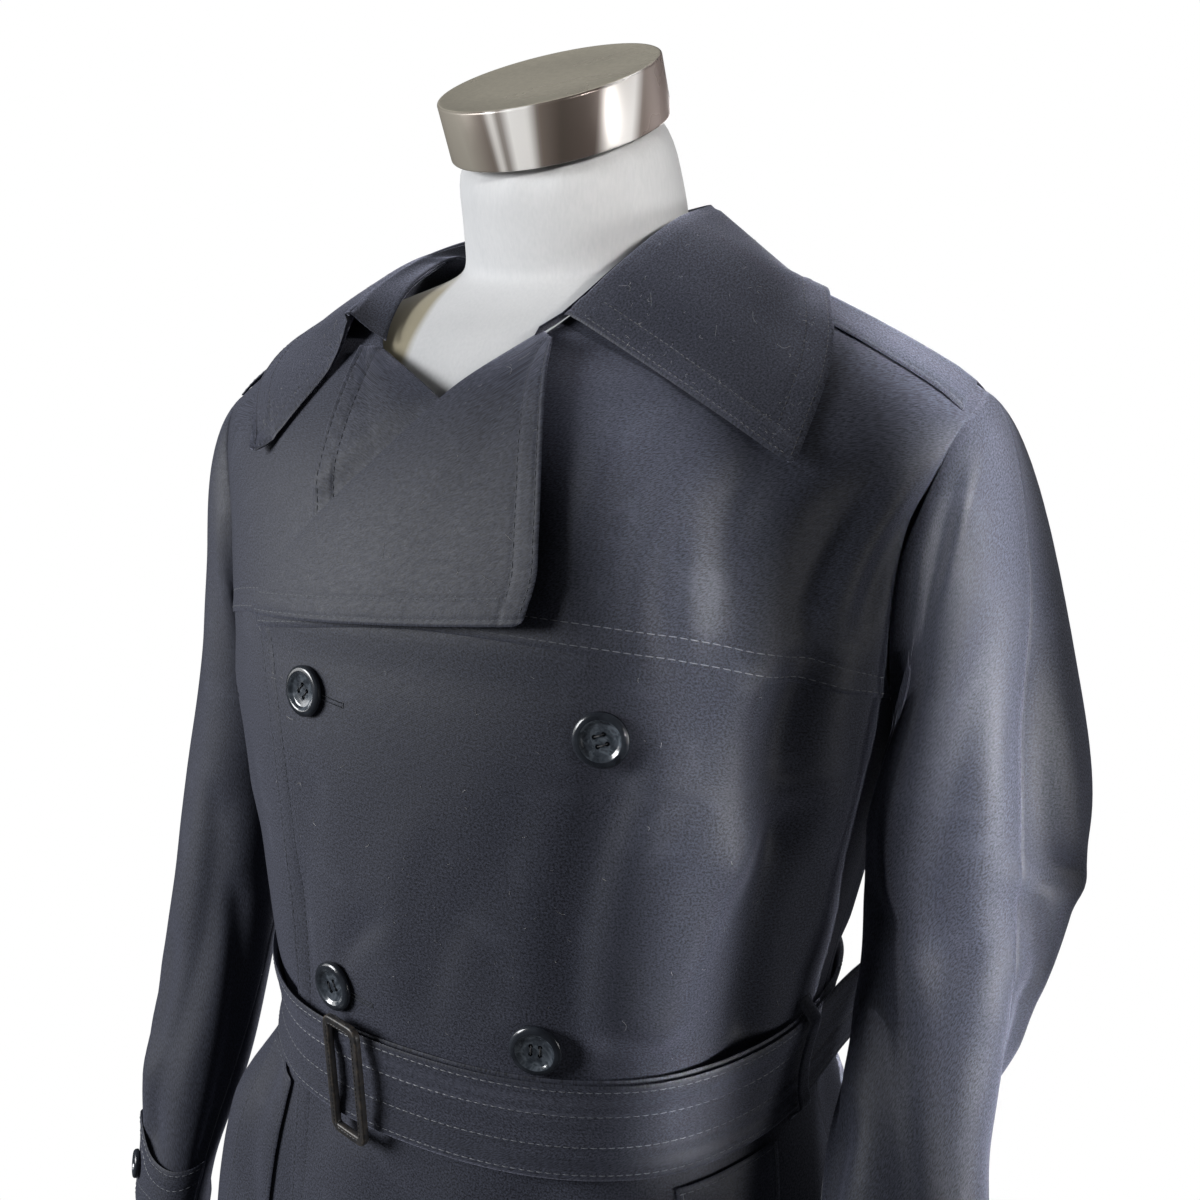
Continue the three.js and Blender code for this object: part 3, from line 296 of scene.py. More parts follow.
SLEEVE_ROUND_LENGTH = 268.0
CAP_STEPS = 2.2

# Sleeve creases: step and share of each end (cap rows have steps below 0), depth, half width, softness
LEFT_SLEEVE_CREASES = np.array([
    [-0.95, 0.085, 1.7, 0.098, -5.4, 11, 1.6],
    [1.4, 0.1, 5.2, 0.13, -3.6, 12, 1.6],
    [-1, 0.145, 2.4, 0.16, 3.9, 13, 1.5],
    [-0.6, 0.04, 2.6, 0.03, 2.7, 10, 1.5],
    [-1.2, 0.215, 1.2, 0.22, -3, 9, 1.6],
    [1, 0.2, 5.4, 0.21, -3.9, 9, 1.7],
    [-0.75, 0.995, 0.7, 0.9, -9, 9, 1.4],
    [-0.5, 0.945, 1, 0.86, 4.8, 12, 1.5],
    [0.6, 0.985, 2, 0.925, -4.8, 6, 1.6],
    [2, 0.96, 4, 0.9, -6.6, 9, 1.6],
    [2.8, 0.86, 4.4, 0.82, 5.1, 10, 1.6],
    [4.4, 0.88, 5.6, 0.84, -4.2, 9, 1.7],
    [4.9, 0.12, 7.6, 0.1, 2.4, 12, 1.6],
    [5.6, 0.2, 7.9, 0.21, -2.7, 10, 1.5],
    [3.6, 0.36, 4.8, 0.42, -5.4, 9, 1.6],
    [2.8, 0.4, 3.9, 0.46, -3.9, 8, 1.6],
    [3.2, 0.62, 4.6, 0.72, 3.9, 12, 1.6],
    [4.2, 0.66, 5.2, 0.76, -3.6, 11, 1.6],
    [0.2, 0.72, 2.4, 0.76, -3, 13, 1.6],
    [6.2, 0.7, 7.9, 0.74, 2.7, 12, 1.6],
    [-2, 0.13, -1.45, 0.215, -5.1, 8, 1.5],
    [-1.9, 0.09, -1.7, 0.15, 3.3, 8, 1.5],
], dtype=float)
RIGHT_SLEEVE_CREASES = np.array([
    [-0.8, 0.12, 3.4, 0.16, 3, 13, 1.7],
    [1.2, 0.22, 5.8, 0.24, -3.6, 9, 1.8],
    [3.2, 0.15, 4.8, 0.2, -3.6, 8, 1.6],
    [4.2, 0.1, 7.2, 0.12, -2.7, 8, 1.6],
    [4.8, 0.17, 7.8, 0.18, 2.7, 9, 1.5],
    [5.4, 0.25, 7.6, 0.27, -2.7, 8, 1.6],
    [2.5, 0.325, 5.9, 0.47, -4.5, 8, 1.6],
    [3.8, 0.92, 5, 0.86, -5.4, 10, 1.6],
    [2.6, 0.84, 4, 0.8, 3.9, 12, 1.6],
    [4.4, 0.68, 5.6, 0.78, -3.9, 11, 1.6],
    [0.4, 0.7, 2.8, 0.74, -3.3, 13, 1.6],
    [6, 0.66, 7.8, 0.7, 2.7, 12, 1.6],
], dtype=float)
SLEEVE_CREASES = {1: LEFT_SLEEVE_CREASES, -1: RIGHT_SLEEVE_CREASES}

# share, foot, head
CUFF_STRAP = np.array([
    [0.13, -17, 25], [0.165, -22, 30], [0.21, -21, 28], [0.26, -16, 23], [0.31, -14, 21],
    [0.38, -14, 21], [0.47, -14, 25],
], dtype=float)
CUFF_STRAP_STEP = 6.2
CUFF_BUTTON_SHARE = 0.195
CUFF_STRAP_CLOTH = 1.8
CUFF_STRAP_REST = 1.0

# turn, lift, height
BELT = np.array([
    [-17, 3.1, 1082], [40, 3.1, 1083], [62, 2.4, 1088], [90, 1.4, 1091], [150, 1.0, 1089],
    [210, 1.0, 1089], [270, 1.0, 1090], [306, 1.2, 1086], [319, 3.2, 1084], [333, 6.1, 1083],
    [400, 6.1, 1082], [422, 5.4, 1087], [444, 4.8, 1091], [456, 9, 1094], [464, 17, 1097],
    [471, 27, 1099],
], dtype=float)
BELT_WIDTH = 56
BELT_CLOTH = 2.2

# name, side, turn, lift over the belt
LOOPS = [("belt_loop_left", 1, 76, 9.8), ("belt_loop_right", -1, 84, 5.6)]
LOOP = {"half": 5.8, "foot": 1053, "head": 1127, "cloth": 1.6}
BUCKLE_STITCH_INSET = 0.9
BUCKLE = {
    "x": -50, "z": 1083, "width": 30, "height": 72, "bar": 5.5, "corner": 6.5, "thick": 4.0, "lift": 12.5,
    "lean": -7,
}
WELT = {"top": (137, 1046), "foot": (166, 880), "half": 17, "cloth": 2.0, "rest": 1.0}

# x, z, lift
FRONT_BUTTONS = {
    "button_top_left": (94.5, 1290, 0.8),
    "button_top_right": (-76, 1293, 0.8),
    "button_waist_left": (60, 1125.5, 0.45),
    "button_waist_right": (-63, 1131, 0.8),
    "button_low_left": (58, 965, 0.8),
    "button_low_right": (-62, 965, 0.2),
}
BUTTON_RADIUS = 13.7
CUFF_BUTTON_RADIUS = 9.5
BUTTON_HEIGHT = 2.2
HOLE_REACH = 0.25
HOLE_RADIUS = 0.088
BUTTON_RIM = 0.74
# Steps of a button's face, as shares of its radius inward and in millimetres up
BUTTON_STEPS = [(0.10, 1.0), (0.14, 0.25), (0.10, -0.9), (0.05, -0.6), (0.16, -0.35)]
BUTTONHOLE_LENGTH = 27
BUTTONHOLE_SLOPE = 0.12
BUTTONHOLE_LIFT = 0.15
BUTTONHOLE_HALF_WIDTH = 1.1
BUTTONHOLE_BAR = 1.6

# Rows of stitches: steps, the share of a step that shows, thread and distances from an edge
STITCH = 4.6
YOKE_STITCH = 5.1
CLOSE_STITCH = 3.4
STITCH_REACH = 0.72
THREAD = 0.27
EDGE_ROW = 2.4
EDGE_ROWS = (2.4, 13.0)
YOKE_ROWS = (2.6, 13.0)
BACK_ROW = 3.0
COLLAR_ROWS = (2.4, 14.0)
STRAP_ROW = 2.2
CUFF_ROW = 26.0
CUFF_STRAP_ROWS = (2.4, 12.5)
BELT_ROWS = (2.6, 18.0)

# Dress form
CAP = {"radius": 61.3, "height": 30.6, "tilt": 24, "seat": (0, 0.45, 1579.1)}
# turn round the cap in degrees, colour of the painted reflection streak there
CAP_PAINTED_REFLECTIONS = [
    (-150, (0.50, 0.46, 0.42)), (-100, (0.12, 0.10, 0.085)), (-60, (0.30, 0.27, 0.22)),
    (-24, (0.34, 0.31, 0.26)), (-6, (0.16, 0.13, 0.11)), (-2, (0.75, 0.72, 0.68)), (2, (0.18, 0.15, 0.13)),
    (7, (0.85, 0.83, 0.80)), (15, (0.85, 0.83, 0.80)), (20, (0.17, 0.14, 0.12)), (30, (0.075, 0.06, 0.05)),
    (47, (0.09, 0.07, 0.06)), (54, (0.70, 0.67, 0.64)), (66, (0.88, 0.86, 0.84)), (72, (0.22, 0.18, 0.16)),
    (92, (0.30, 0.24, 0.22)), (118, (0.42, 0.34, 0.32)), (150, (0.20, 0.17, 0.15)),
]
BASE = {"radius": 160, "height": 12, "steps": [(132, 3), (2.5, 2), (0.6, 17)]}
POLE = {"radius": 12.5, "height": 815.4, "middle": 441.9}


# Tables


def read(rows, value):
    """Row of a table at a value of its first column, along a smooth curve through the rows."""
    keys = rows[:, 0]
    last = len(keys) - 1
    at = np.clip(np.asarray(value, dtype=float), keys[0], keys[-1])
    i = np.clip(np.searchsorted(keys, at, side="left") - 1, 0, last - 1)
    before = np.maximum(i - 1, 0)
    after = np.minimum(i + 2, last)
    a = rows[i]
    b = rows[i + 1]
    span = (keys[i + 1] - keys[i])[..., None]
    t = (at - keys[i])[..., None] / span
    slope_a = (b - rows[before]) / (keys[i + 1] - keys[before])[..., None] * span
    slope_b = (rows[after] - a) / (keys[after] - keys[i])[..., None] * span
    share_b = t * t * (3 - 2 * t)
    pull_a = t * (1 - t) ** 2
    pull_b = -t * t * (1 - t)
    return a * (1 - share_b) + b * share_b + slope_a * pull_a + slope_b * pull_b


def mix(a, b, t):
    return a + (b - a) * t


def smooth(t):
    s = np.clip(t, 0, 1)
    return s * s * (3 - 2 * s)


def stack(x, y, z):
    x, y, z = np.broadcast_arrays(x, y, z)
    return np.stack([x, y, z], axis=-1).astype(float)


def unit(v):
    return v / (np.linalg.norm(v, axis=-1, keepdims=True) + 1e-12)


# The coat's surface, by turn round the body and level


def skin(turn, level):
    turn, level = np.broadcast_arrays(np.asarray(turn, float), np.asarray(level, float))
    row = read(BODY, level)
    s = np.sin(turn)
    c = np.cos(turn)
    reach = (np.abs(s) ** SQUARENESS + np.abs(c) ** SQUARENESS) ** (-1 / SQUARENESS)
    depth = np.where(c > 0, row[..., 4], row[..., 5])
    across = np.abs(reach * s)
    drop = (row[..., 1] - row[..., 7]) * across ** SHOULDER_DROOP
    x = row[..., 3] + row[..., 2] * reach * s
    y = row[..., 6] - depth * reach * c
    return stack(x, y, row[..., 1] - drop)


def outward(turn, level):
    inside = np.minimum(level, RIDGE_LEVEL - 0.02)
    across = skin(turn + 0.01, inside) - skin(turn - 0.01, inside)
    up = skin(turn, inside + 0.015) - skin(turn, inside - 0.015)
    normal = unit(np.cross(across, up))
    normal[..., 1] *= smooth((RIDGE_LEVEL - level) / 0.7)
    return unit(normal)


def degrees_of(turn):
    degrees = np.degrees(turn)
    return np.where(degrees > 180, degrees - 360, degrees)


def fold_at(turn, height):
    degrees = degrees_of(turn)
    lift = np.zeros(np.shape(height))
    for centre, foot, head, fade, depth, width in FOLDS:
        offset = (degrees - centre) / width
        below = smooth((head - height) / fade)
        above = 1 if foot < BODY[0, 1] else smooth((height - foot) / fade)
        lift = lift + depth * np.exp(-offset * offset) * below * above
    return lift


def crease_lift(along, across, table, reach):
    """Height of listed creases at a point of a surface whose two directions are in millimetres."""
    lift = np.zeros(np.shape(along))
    for from_along, from_across, to_along, to_across, depth, width, soft in table:
        way_along = to_along - from_along
        way_across = to_across - from_across
        length = math.hypot(way_along, way_across)
        step = ((along - from_along) * way_along + (across - from_across) * way_across) / length ** 2
        side = ((across - from_across) * way_along - (along - from_along) * way_across) / length
        bend = CREASE_BEND * length * np.sin(np.pi * np.clip(step, 0, 1))
        offset = side - bend
        breadth = np.where(offset > 0, width * soft, width)
        ends = smooth(step * length / reach + 0.5) * smooth((1 - step) * length / reach + 0.5)
        lift = lift + depth * np.exp(-(offset / breadth) ** 2) * ends
    return lift


def body_crease(turn, height):
    """Creases of the body. Only troughs run on under the belt."""
    across = degrees_of(turn) * DEGREE_LENGTH
    table = BODY_CREASES[:, [1, 0, 3, 2, 4, 5, 6]] * [1, DEGREE_LENGTH, 1, DEGREE_LENGTH, 1, 1, 1]
    ridges = crease_lift(height, across, table[table[:, 4] > 0], BODY_CREASE_FADE)
    troughs = crease_lift(height, across, table[table[:, 4] < 0], BODY_CREASE_FADE)
    belt = smooth((height - BELT_HEAD) / BELT_FADE) + smooth((BELT_FOOT - height) / BELT_FADE)
    over = smooth((height - BELT_HEAD + BELT_TROUGH) / BELT_FADE)
    under = smooth((BELT_FOOT + BELT_TROUGH - 2 - height) / BELT_FADE)
    return ridges * belt + troughs * np.clip(over + under, 0, 1)


def place(turn, level, lift, creased=True):
    turn, level = np.broadcast_arrays(np.asarray(turn, float), np.asarray(level, float))
    base = skin(turn, level)
    out = lift + fold_at(turn, base[..., 2])
    if creased:
        out = out + body_crease(turn, base[..., 2])
    return base + outward(turn, level) * out[..., None]


def turn_of_share(share):
    power = np.clip(share, 0, 1) ** SQUARENESS
    return np.arctan2(power ** (1 / SQUARENESS), (1 - power) ** (1 / SQUARENESS))


def turn_at(x, level):
    row = read(BODY, level)
    away = x - row[..., 3]
    return np.sign(away) * turn_of_share(np.minimum(np.abs(away) / row[..., 2], 1))


def level_where(holds, shape, low=0.0, times=34):
    """Level up to which a test holds, found by halving."""
    low = np.full(shape, low)
    high = np.full(shape, float(RIDGE_LEVEL))
    for _ in range(times):
        level = (low + high) / 2
        held = holds(level)
        low = np.where(held, level, low)
        high = np.where(held, high, level)
    return (low + high) / 2


def front_spot(x, z):
    """Turn and level of the front's point that has this x and height."""
    x, z = np.broadcast_arrays(np.asarray(x, float), np.asarray(z, float))
    level = level_where(lambda at: skin(turn_at(x, at), at)[..., 2] < z, z.shape)
    return turn_at(x, level), level


def overlap_lift(x, z):
    sideways = 1 - smooth((x - OVERLAP_FULL_X) / (OVERLAP_END_X - OVERLAP_FULL_X))
    chest = TUCKED_LAPEL * smooth((z - TUCKED_LAPEL_FROM) / TUCKED_LAPEL_SPAN)
    upper = 1 - smooth((z - OVERLAP_TOP) / OVERLAP_TOP_SPAN)
    return (OVERLAP + chest) * sideways * upper


def over_point(turn, level, lift, creased=True):
    base = skin(turn, level)
    return place(turn, level, lift + overlap_lift(base[..., 0], base[..., 2]), creased)


def layer_point(side, turn, level, lift, creased=True):
    if side > 0:
        return over_point(turn, level, lift, creased)
    return place(turn, level, lift, creased)


# Grids


def spaced(length, coarse, fine_start=0.0, fine_end=0.0):
    """Shares from 0 to 1 along a length, closer together within a fine band at either end."""
    parts = [0.0]
    at = 0.0
    while at < length - 1e-6:
        near_start = at < fine_start
        near_end = at > length - fine_end - coarse * 0.5
        step = FINE if near_start or near_end else coarse
        at = min(at + step, length)
        parts.append(at)
    if parts[-1] - parts[-2] < FINE * 0.4:
        parts.pop(-2)
    return np.array(parts) / length


def grid_normals(grid, away):
    across = np.gradient(grid, axis=1)
    along = np.gradient(grid, axis=0)
    normals = unit(np.cross(across, along))
    if np.sum(normals * away) < 0:
        return -normals, True
    return normals, False


def lengths(grid, axis):
    steps = np.linalg.norm(np.diff(grid, axis=axis), axis=-1)
    start = np.zeros_like(steps[:, :1] if axis == 1 else steps[:1])
    return np.cumsum(np.concatenate([start, steps], axis=axis), axis=axis)


def distance_from(grid, side):
    """Distance in millimetres of each point of a grid from one of its four sides."""
    axis = 1 if side in ("start", "end") else 0
    run = lengths(grid, axis)
    if side in ("start", "foot"):
        return run
    total = run[:, -1:] if axis == 1 else run[-1:]
    return total - run


def line_at(grid, normals, side, distance, keep_from=()):
    """Points and normals of a line at a distance in from one side of a grid."""
    away = distance_from(grid, side)
    if side in ("start", "end"):
        field, points, facing = away, grid, normals
        limits = [distance_from(grid, other) for other, _ in keep_from]
    else:
        field = away.T
        points = grid.transpose(1, 0, 2)
        facing = normals.transpose(1, 0, 2)
        limits = [distance_from(grid, other).T for other, _ in keep_from]
    found = []
    for row in range(field.shape[0]):
        order = slice(None) if field[row, 0] < field[row, -1] else slice(None, None, -1)
        run = field[row][order]
        if distance > run[-1]:
            continue
        clear = True
        for limit, (_, least) in zip(limits, keep_from):
            clear = clear and np.interp(distance, run, limit[row][order]) >= least - 0.3
        if not clear:
            continue
        p = [np.interp(distance, run, points[row][order][:, k]) for k in range(3)]
        n = [np.interp(distance, run, facing[row][order][:, k]) for k in range(3)]
        found.append((p, n))
    if len(found) < 2:
        return None
    return np.array([f[0] for f in found]), unit(np.array([f[1] for f in found]))


def pressed(grid, away, sewn):
    """Sinks a grid along its sewn lines and swells the turned-in cloth between line and edge."""
    normals, _ = grid_normals(grid, away)
    lift = np.zeros(grid.shape[:2])
    for side, distances in sewn:
        run = distance_from(grid, side)
        for distance in distances:
            lift = lift - SEWN_SINK * np.exp(-((run - distance) / SEWN_WIDTH) ** 2)
        widest = max(distances)
        if widest > 6:
            lift = lift + TURNED_IN_SWELL * smooth((widest + 0.5 - run) / TURNED_IN_FADE)
    ripple = PUCKER * np.sin(run_ripple(grid) * 1.3)
    near = np.zeros(grid.shape[:2])
    for side, distances in sewn:
        near = np.maximum(near, np.exp(-((distance_from(grid, side) - 6) / 9) ** 2))
    return grid + normals * (lift + ripple * near)[..., None]


def run_ripple(grid):
    """A slow uneven phase over a surface, for the slight pucker that sewing leaves."""
    x, y, z = grid[..., 0], grid[..., 1], grid[..., 2]
    return 0.31 * z + 0.23 * x + 2.2 * np.sin(0.05 * z + 0.03 * x) + 1.4 * np.sin(0.09 * y + 0.04 * x)


def corner_rounded(grid, row_side, column_side, radius):
    """Rounds one corner of a grid by drawing its points in towards a quarter circle."""
    from_row = radius - distance_from(grid, row_side)
    from_column = radius - distance_from(grid, column_side)
    p = np.clip(from_row, 0, radius)
    q = np.clip(from_column, 0, radius)
    back_row = p * (1 - np.sqrt(1 - q * q / (2 * radius * radius)))
    back_column = q * (1 - np.sqrt(1 - p * p / (2 * radius * radius)))
    along = unit(np.gradient(grid, axis=0)) * (1 if row_side == "foot" else -1)
    across = unit(np.gradient(grid, axis=1)) * (1 if column_side == "start" else -1)
    return grid + along * back_row[..., None] + across * back_column[..., None]


# Meshes


def add_mesh(name, points, faces, uvs=None):
    mesh = bpy.data.meshes.new(name)
    mesh.from_pydata((np.asarray(points) * MM).tolist(), [], [tuple(f) for f in faces])
    if uvs is not None:
        layer = mesh.uv_layers.new(name="cut")
        corners = np.empty(len(mesh.loops), dtype=np.int32)
        mesh.loops.foreach_get("vertex_index", corners)
        layer.data.foreach_set("uv", np.asarray(uvs)[corners].ravel())
    mesh.update()
    piece = bpy.data.objects.new(name, mesh)
    bpy.context.scene.collection.objects.link(piece)
    return piece


def only(piece):
    bpy.ops.object.select_all(action="DESELECT")
    piece.select_set(True)
    bpy.context.view_layer.objects.active = piece


def soften(piece, angle=48):
    only(piece)
    bpy.ops.object.shade_smooth_by_angle(angle=math.radians(angle))
    piece.select_set(False)


def perimeter(rows, columns):
    rim = [(0, c) for c in range(columns)]
    rim += [(r, columns - 1) for r in range(1, rows)]
    rim += [(rows - 1, c) for c in range(columns - 2, -1, -1)]
    rim += [(r, 0) for r in range(rows - 2, 0, -1)]
    return rim


def rim_away(grid, r, c):
    rows, columns = grid.shape[:2]
    way = np.zeros(3)
    if r == 0:
        way += unit(grid[0, c] - grid[1, c])
    if r == rows - 1:
        way += unit(grid[-1, c] - grid[-2, c])
    if c == 0:
        way += unit(grid[r, 0] - grid[r, 1])
    if c == columns - 1:
        way += unit(grid[r, -1] - grid[r, -2])
    return unit(way)


def shell(name, grid, wall, away):
    """A closed thin wall of cloth with rounded edges, outside on the grid."""
    rows, columns = grid.shape[:2]
    normals, flip = grid_normals(grid, away)
    inner = grid - normals * wall
    rim = perimeter(rows, columns)
    bulge = [(grid[at] + inner[at]) / 2 + rim_away(grid, *at) * wall * EDGE_BULGE for at in rim]
    outside = grid.copy()
    for at in rim:
        outside[at] = grid[at] - normals[at] * wall * EDGE_EASE
        inner[at] = inner[at] + normals[at] * wall * EDGE_EASE
    points = np.concatenate([outside.reshape(-1, 3), inner.reshape(-1, 3), np.array(bulge)])
    index = np.arange(rows * columns).reshape(rows, columns)
    a, b = index[:-1, :-1].ravel(), index[:-1, 1:].ravel()
    e, d = index[1:, 1:].ravel(), index[1:, :-1].ravel()
    shift = rows * columns
    faces = np.stack([a, b, e, d], axis=1).tolist()
    faces += np.stack([a + shift, d + shift, e + shift, b + shift], axis=1).tolist()
    edge = [index[at] for at in rim]
    for i in range(len(rim)):
        j = (i + 1) % len(rim)
        middle_i, middle_j = 2 * shift + i, 2 * shift + j
        faces.append([edge[j], edge[i], middle_i, middle_j])
        faces.append([middle_j, middle_i, edge[i] + shift, edge[j] + shift])
    if flip:
        faces = [f[::-1] for f in faces]
    flat = np.stack([lengths(grid, 1), lengths(grid, 0)], axis=-1) * MM
    rim_flat = np.array([flat[at] for at in rim])
    uvs = np.concatenate([flat.reshape(-1, 2), flat.reshape(-1, 2), rim_flat])
    return add_mesh(name, points, faces, uvs)


def tube_faces(rings, sides):
    """Faces of a closed tube whose points run ring by ring."""
    faces = []
    for ring in range(rings - 1):
        for i in range(sides):
            a = ring * sides + i
            b = ring * sides + (i + 1) % sides
            faces.append([a, b, b + sides, a + sides])
    last = (rings - 1) * sides
    return faces + [list(range(sides))[::-1], list(range(last, last + sides))]


def tube_points(path, normals, radius, sides):
    along = unit(np.gradient(path, axis=0))
    across = unit(np.cross(along, normals))
    up = np.cross(across, along)
    rings = []
    for i in range(sides):
        round_ = 2 * math.pi * i / sides
        rings.append(path + (across * math.cos(round_) + up * math.sin(round_)) * radius)
    return np.stack(rings, axis=1)


def stitch_points(points, normals, pitch, reach):
    """Centre points and directions of the stitches of one row, in even steps along it."""
    steps = np.linalg.norm(np.diff(points, axis=0), axis=1)
    run = np.concatenate([[0], np.cumsum(steps)])
    count = int(run[-1] / pitch)
    if count < 1:
        return np.zeros((0, 3, 3)), np.zeros((0, 3))
    starts = np.arange(count) * pitch + (run[-1] - count * pitch) / 2 + pitch * (1 - reach) / 2
    marks = starts[:, None] + np.array([0, 0.5, 1]) * pitch * reach
    spots = np.stack([np.interp(marks, run, points[:, k]) for k in range(3)], axis=-1)
    facing = np.stack([np.interp(marks[:, 1], run, normals[:, k]) for k in range(3)], axis=-1)
    return spots, unit(facing)


def stitch_mesh(name, rows):
    """One mesh of all the stitches of a piece. Each row is points, normals, pitch, reach and thread."""
    blocks = []
    for points, normals, pitch, reach, thread in rows:
        spots, facing = stitch_points(points, normals, pitch, reach)
        if len(spots) == 0:
            continue
        side = unit(np.cross(unit(spots[:, 2] - spots[:, 0]), facing))
        rings = []
        for k, (lift, fat) in enumerate([(-0.25, 0.75), (0.35, 1.0), (-0.25, 0.75)]):
            centre = spots[:, k] + facing * (lift * thread)
            rings.append(centre - side * thread * fat)
            rings.append(centre - facing * thread * fat * 0.7)
            rings.append(centre + side * thread * fat)
            rings.append(centre + facing * thread * fat)
        blocks.append(np.stack(rings, axis=1))
    stitches = np.concatenate(blocks)
    starts = np.arange(len(stitches)) * stitches.shape[1]
    faces = np.array(tube_faces(3, 4))[None] + starts[:, None, None]
    return add_mesh(name, stitches.reshape(-1, 3), faces.reshape(-1, 4).tolist())


# Materials


def fill(tree, node, inputs):
    """Sets sockets of a node to plain values, or links them where a value is another node's socket."""
    for key, value in inputs.items():
        socket = node.inputs[key]
        if isinstance(value, bpy.types.NodeSocket):
            tree.links.new(value, socket)
        else:
            socket.default_value = (*value, 1) if socket.type == "RGBA" else value


def add_node(tree, kind, inputs=None, **settings):
    node = tree.nodes.new(kind)
    for key, value in settings.items():
        setattr(node, key, value)
    fill(tree, node, inputs or {})
    return node


class Look:
    """A material, with short ways to add the nodes that make its look."""

    def __init__(self, name, roughness, specular):
        self.material = bpy.data.materials.new(name)
        self.material.use_nodes = True
        self.tree = self.material.node_tree
        self.body = self.add("ShaderNodeTexCoord").outputs["Object"]
        self.finish({"Roughness": roughness, "Specular IOR Level": specular})

    def add(self, kind, inputs=None, **settings):
        return add_node(self.tree, kind, inputs, **settings)

    def finish(self, inputs):
        fill(self.tree, self.tree.nodes["Principled BSDF"], inputs)
        return self.material

    def noise(self, vector, scale, detail, rough, distortion=0.0):
        return self.add("ShaderNodeTexNoise", {
            "Vector": vector, "Scale": scale, "Detail": detail, "Roughness": rough, "Distortion": distortion,
        }).outputs["Fac"]

    def ramp(self, value, stops):
        node = self.add("ShaderNodeValToRGB", {"Fac": value})
        while len(node.color_ramp.elements) < len(stops):
            node.color_ramp.elements.new(0.5)
        for element, (at, colour) in zip(node.color_ramp.elements, stops):
            element.position = at
            element.color = (*colour, 1)
        return node.outputs["Color"]

    def blend(self, factor, a, b, mode="MIX"):
        node = self.add("ShaderNodeMix", data_type="RGBA", blend_type=mode)
        fill(self.tree, node, {0: factor, 6: a, 7: b})
        return node.outputs[2]

    def spread(self, value, to_low, to_high, from_low=0.0, from_high=1.0):
        return self.add("ShaderNodeMapRange", {
            "Value": value, "From Min": from_low, "From Max": from_high, "To Min": to_low, "To Max": to_high,
        }).outputs["Result"]

    def maths(self, operation, a, b):
        return self.add("ShaderNodeMath", {0: a, 1: b}, operation=operation).outputs[0]

    def scaled(self, scale):
        return self.add("ShaderNodeMapping", {"Vector": self.body, "Scale": scale}).outputs["Vector"]

    def bump(self, height, strength, distance, below=None):
        inputs = {"Height": height, "Strength": strength, "Distance": distance}
        if below is not None:
            inputs["Normal"] = below
        return self.add("ShaderNodeBump", inputs).outputs["Normal"]

    def twill(self, vector, scale, turn):
        """Fine slanted ribs of a twill weave."""
        turned = self.add("ShaderNodeMapping", {"Vector": vector, "Rotation": (0, 0, math.radians(turn))})
        return self.add("ShaderNodeTexWave", {
            "Vector": turned.outputs["Vector"], "Scale": scale, "Distortion": 1.2, "Detail": 1.0,
            "Detail Scale": 2.0,
        }, wave_type="BANDS", bands_direction="X").outputs["Fac"]


def gabardine():
    """Dense navy-black twill: fine speckle of the weave, faint slubs, soft bloom of pale fibre."""
    look = Look("navy_gabardine", 0.62, 0.28)
    weave = look.add("ShaderNodeUVMap", uv_map="cut").outputs["UV"]
    speckle = look.noise(weave, 880, 2.0, 0.8)
    slub = look.noise(weave, 260, 3.0, 0.65)
    cloud = look.noise(look.body, 9, 4.0, 0.6)
    bloom = look.noise(look.body, 34, 5.0, 0.7, 0.4)
    deep = look.ramp(speckle, [(0.37, (0.0038, 0.0043, 0.0068)), (0.63, (0.0198, 0.0230, 0.0365))])
    worn = look.ramp(cloud, [(0.35, (0.86, 0.88, 0.92)), (0.7, (1.12, 1.08, 1.04))])
    dust = look.ramp(bloom, [(0.55, BLACK), (0.78, (0.013, 0.014, 0.018))])
    low = look.bump(look.twill(weave, 330, 58), 0.15, 0.0001)
    grain = look.bump(slub, 0.5, 0.0003, low)
    return look.finish({
        "Base Color": look.blend(1.0, look.blend(1.0, deep, worn, "MULTIPLY"), dust, "ADD"),
        "Roughness": look.spread(slub, 0.5, 0.72),
        "Sheen Weight": look.spread(speckle, 0.10, 0.66, 0.36, 0.64),
        "Sheen Roughness": 0.5,
        "Sheen Tint": (0.68, 0.705, 0.90),
        "Normal": look.bump(bloom, 0.35, 0.0008, grain),
    })


def sewing_thread(name, colour):
    look = Look(name, 0.5, 0.5)
    twist = look.noise(look.body, 1800, 1.0, 0.5)
    dark = tuple(0.55 * c for c in colour)
    return look.finish({"Base Color": look.ramp(twist, [(0.35, dark), (0.65, colour)]), "Sheen Weight": 0.3})


def marbled_horn():
    """Dark blue-grey button stock with pale smoky swirls under a polish."""
    look = Look("marbled_button", 0.24, 0.45)
    swirl = look.noise(look.body, 62, 4.0, 0.55, 2.6)
    fleck = look.noise(look.body, 240, 3.0, 0.6, 1.2)
    smoke = look.ramp(swirl, [
        (0.36, (0.014, 0.018, 0.024)), (0.5, (0.032, 0.040, 0.050)), (0.58, (0.085, 0.10, 0.118)),
        (0.66, (0.040, 0.048, 0.058)),
    ])
    specks = look.ramp(fleck, [(0.4, (0.01, 0.012, 0.014)), (0.65, (0.09, 0.10, 0.12))])
    return look.finish({
        "Base Color": look.blend(0.25, smoke, specks),
        "Roughness": look.spread(fleck, 0.12, 0.28),
        "Coat Weight": 0.5,
        "Coat Roughness": 0.08,
    })


def dark_horn():
    """Plain polished rim of the buttons."""
    look = Look("dark_button_rim", 0.2, 0.5)
    smoke = look.noise(look.body, 90, 3.0, 0.5)
    return look.finish({
        "Base Color": look.ramp(smoke, [(0.35, (0.010, 0.012, 0.016)), (0.65, (0.024, 0.028, 0.035))]),
    })


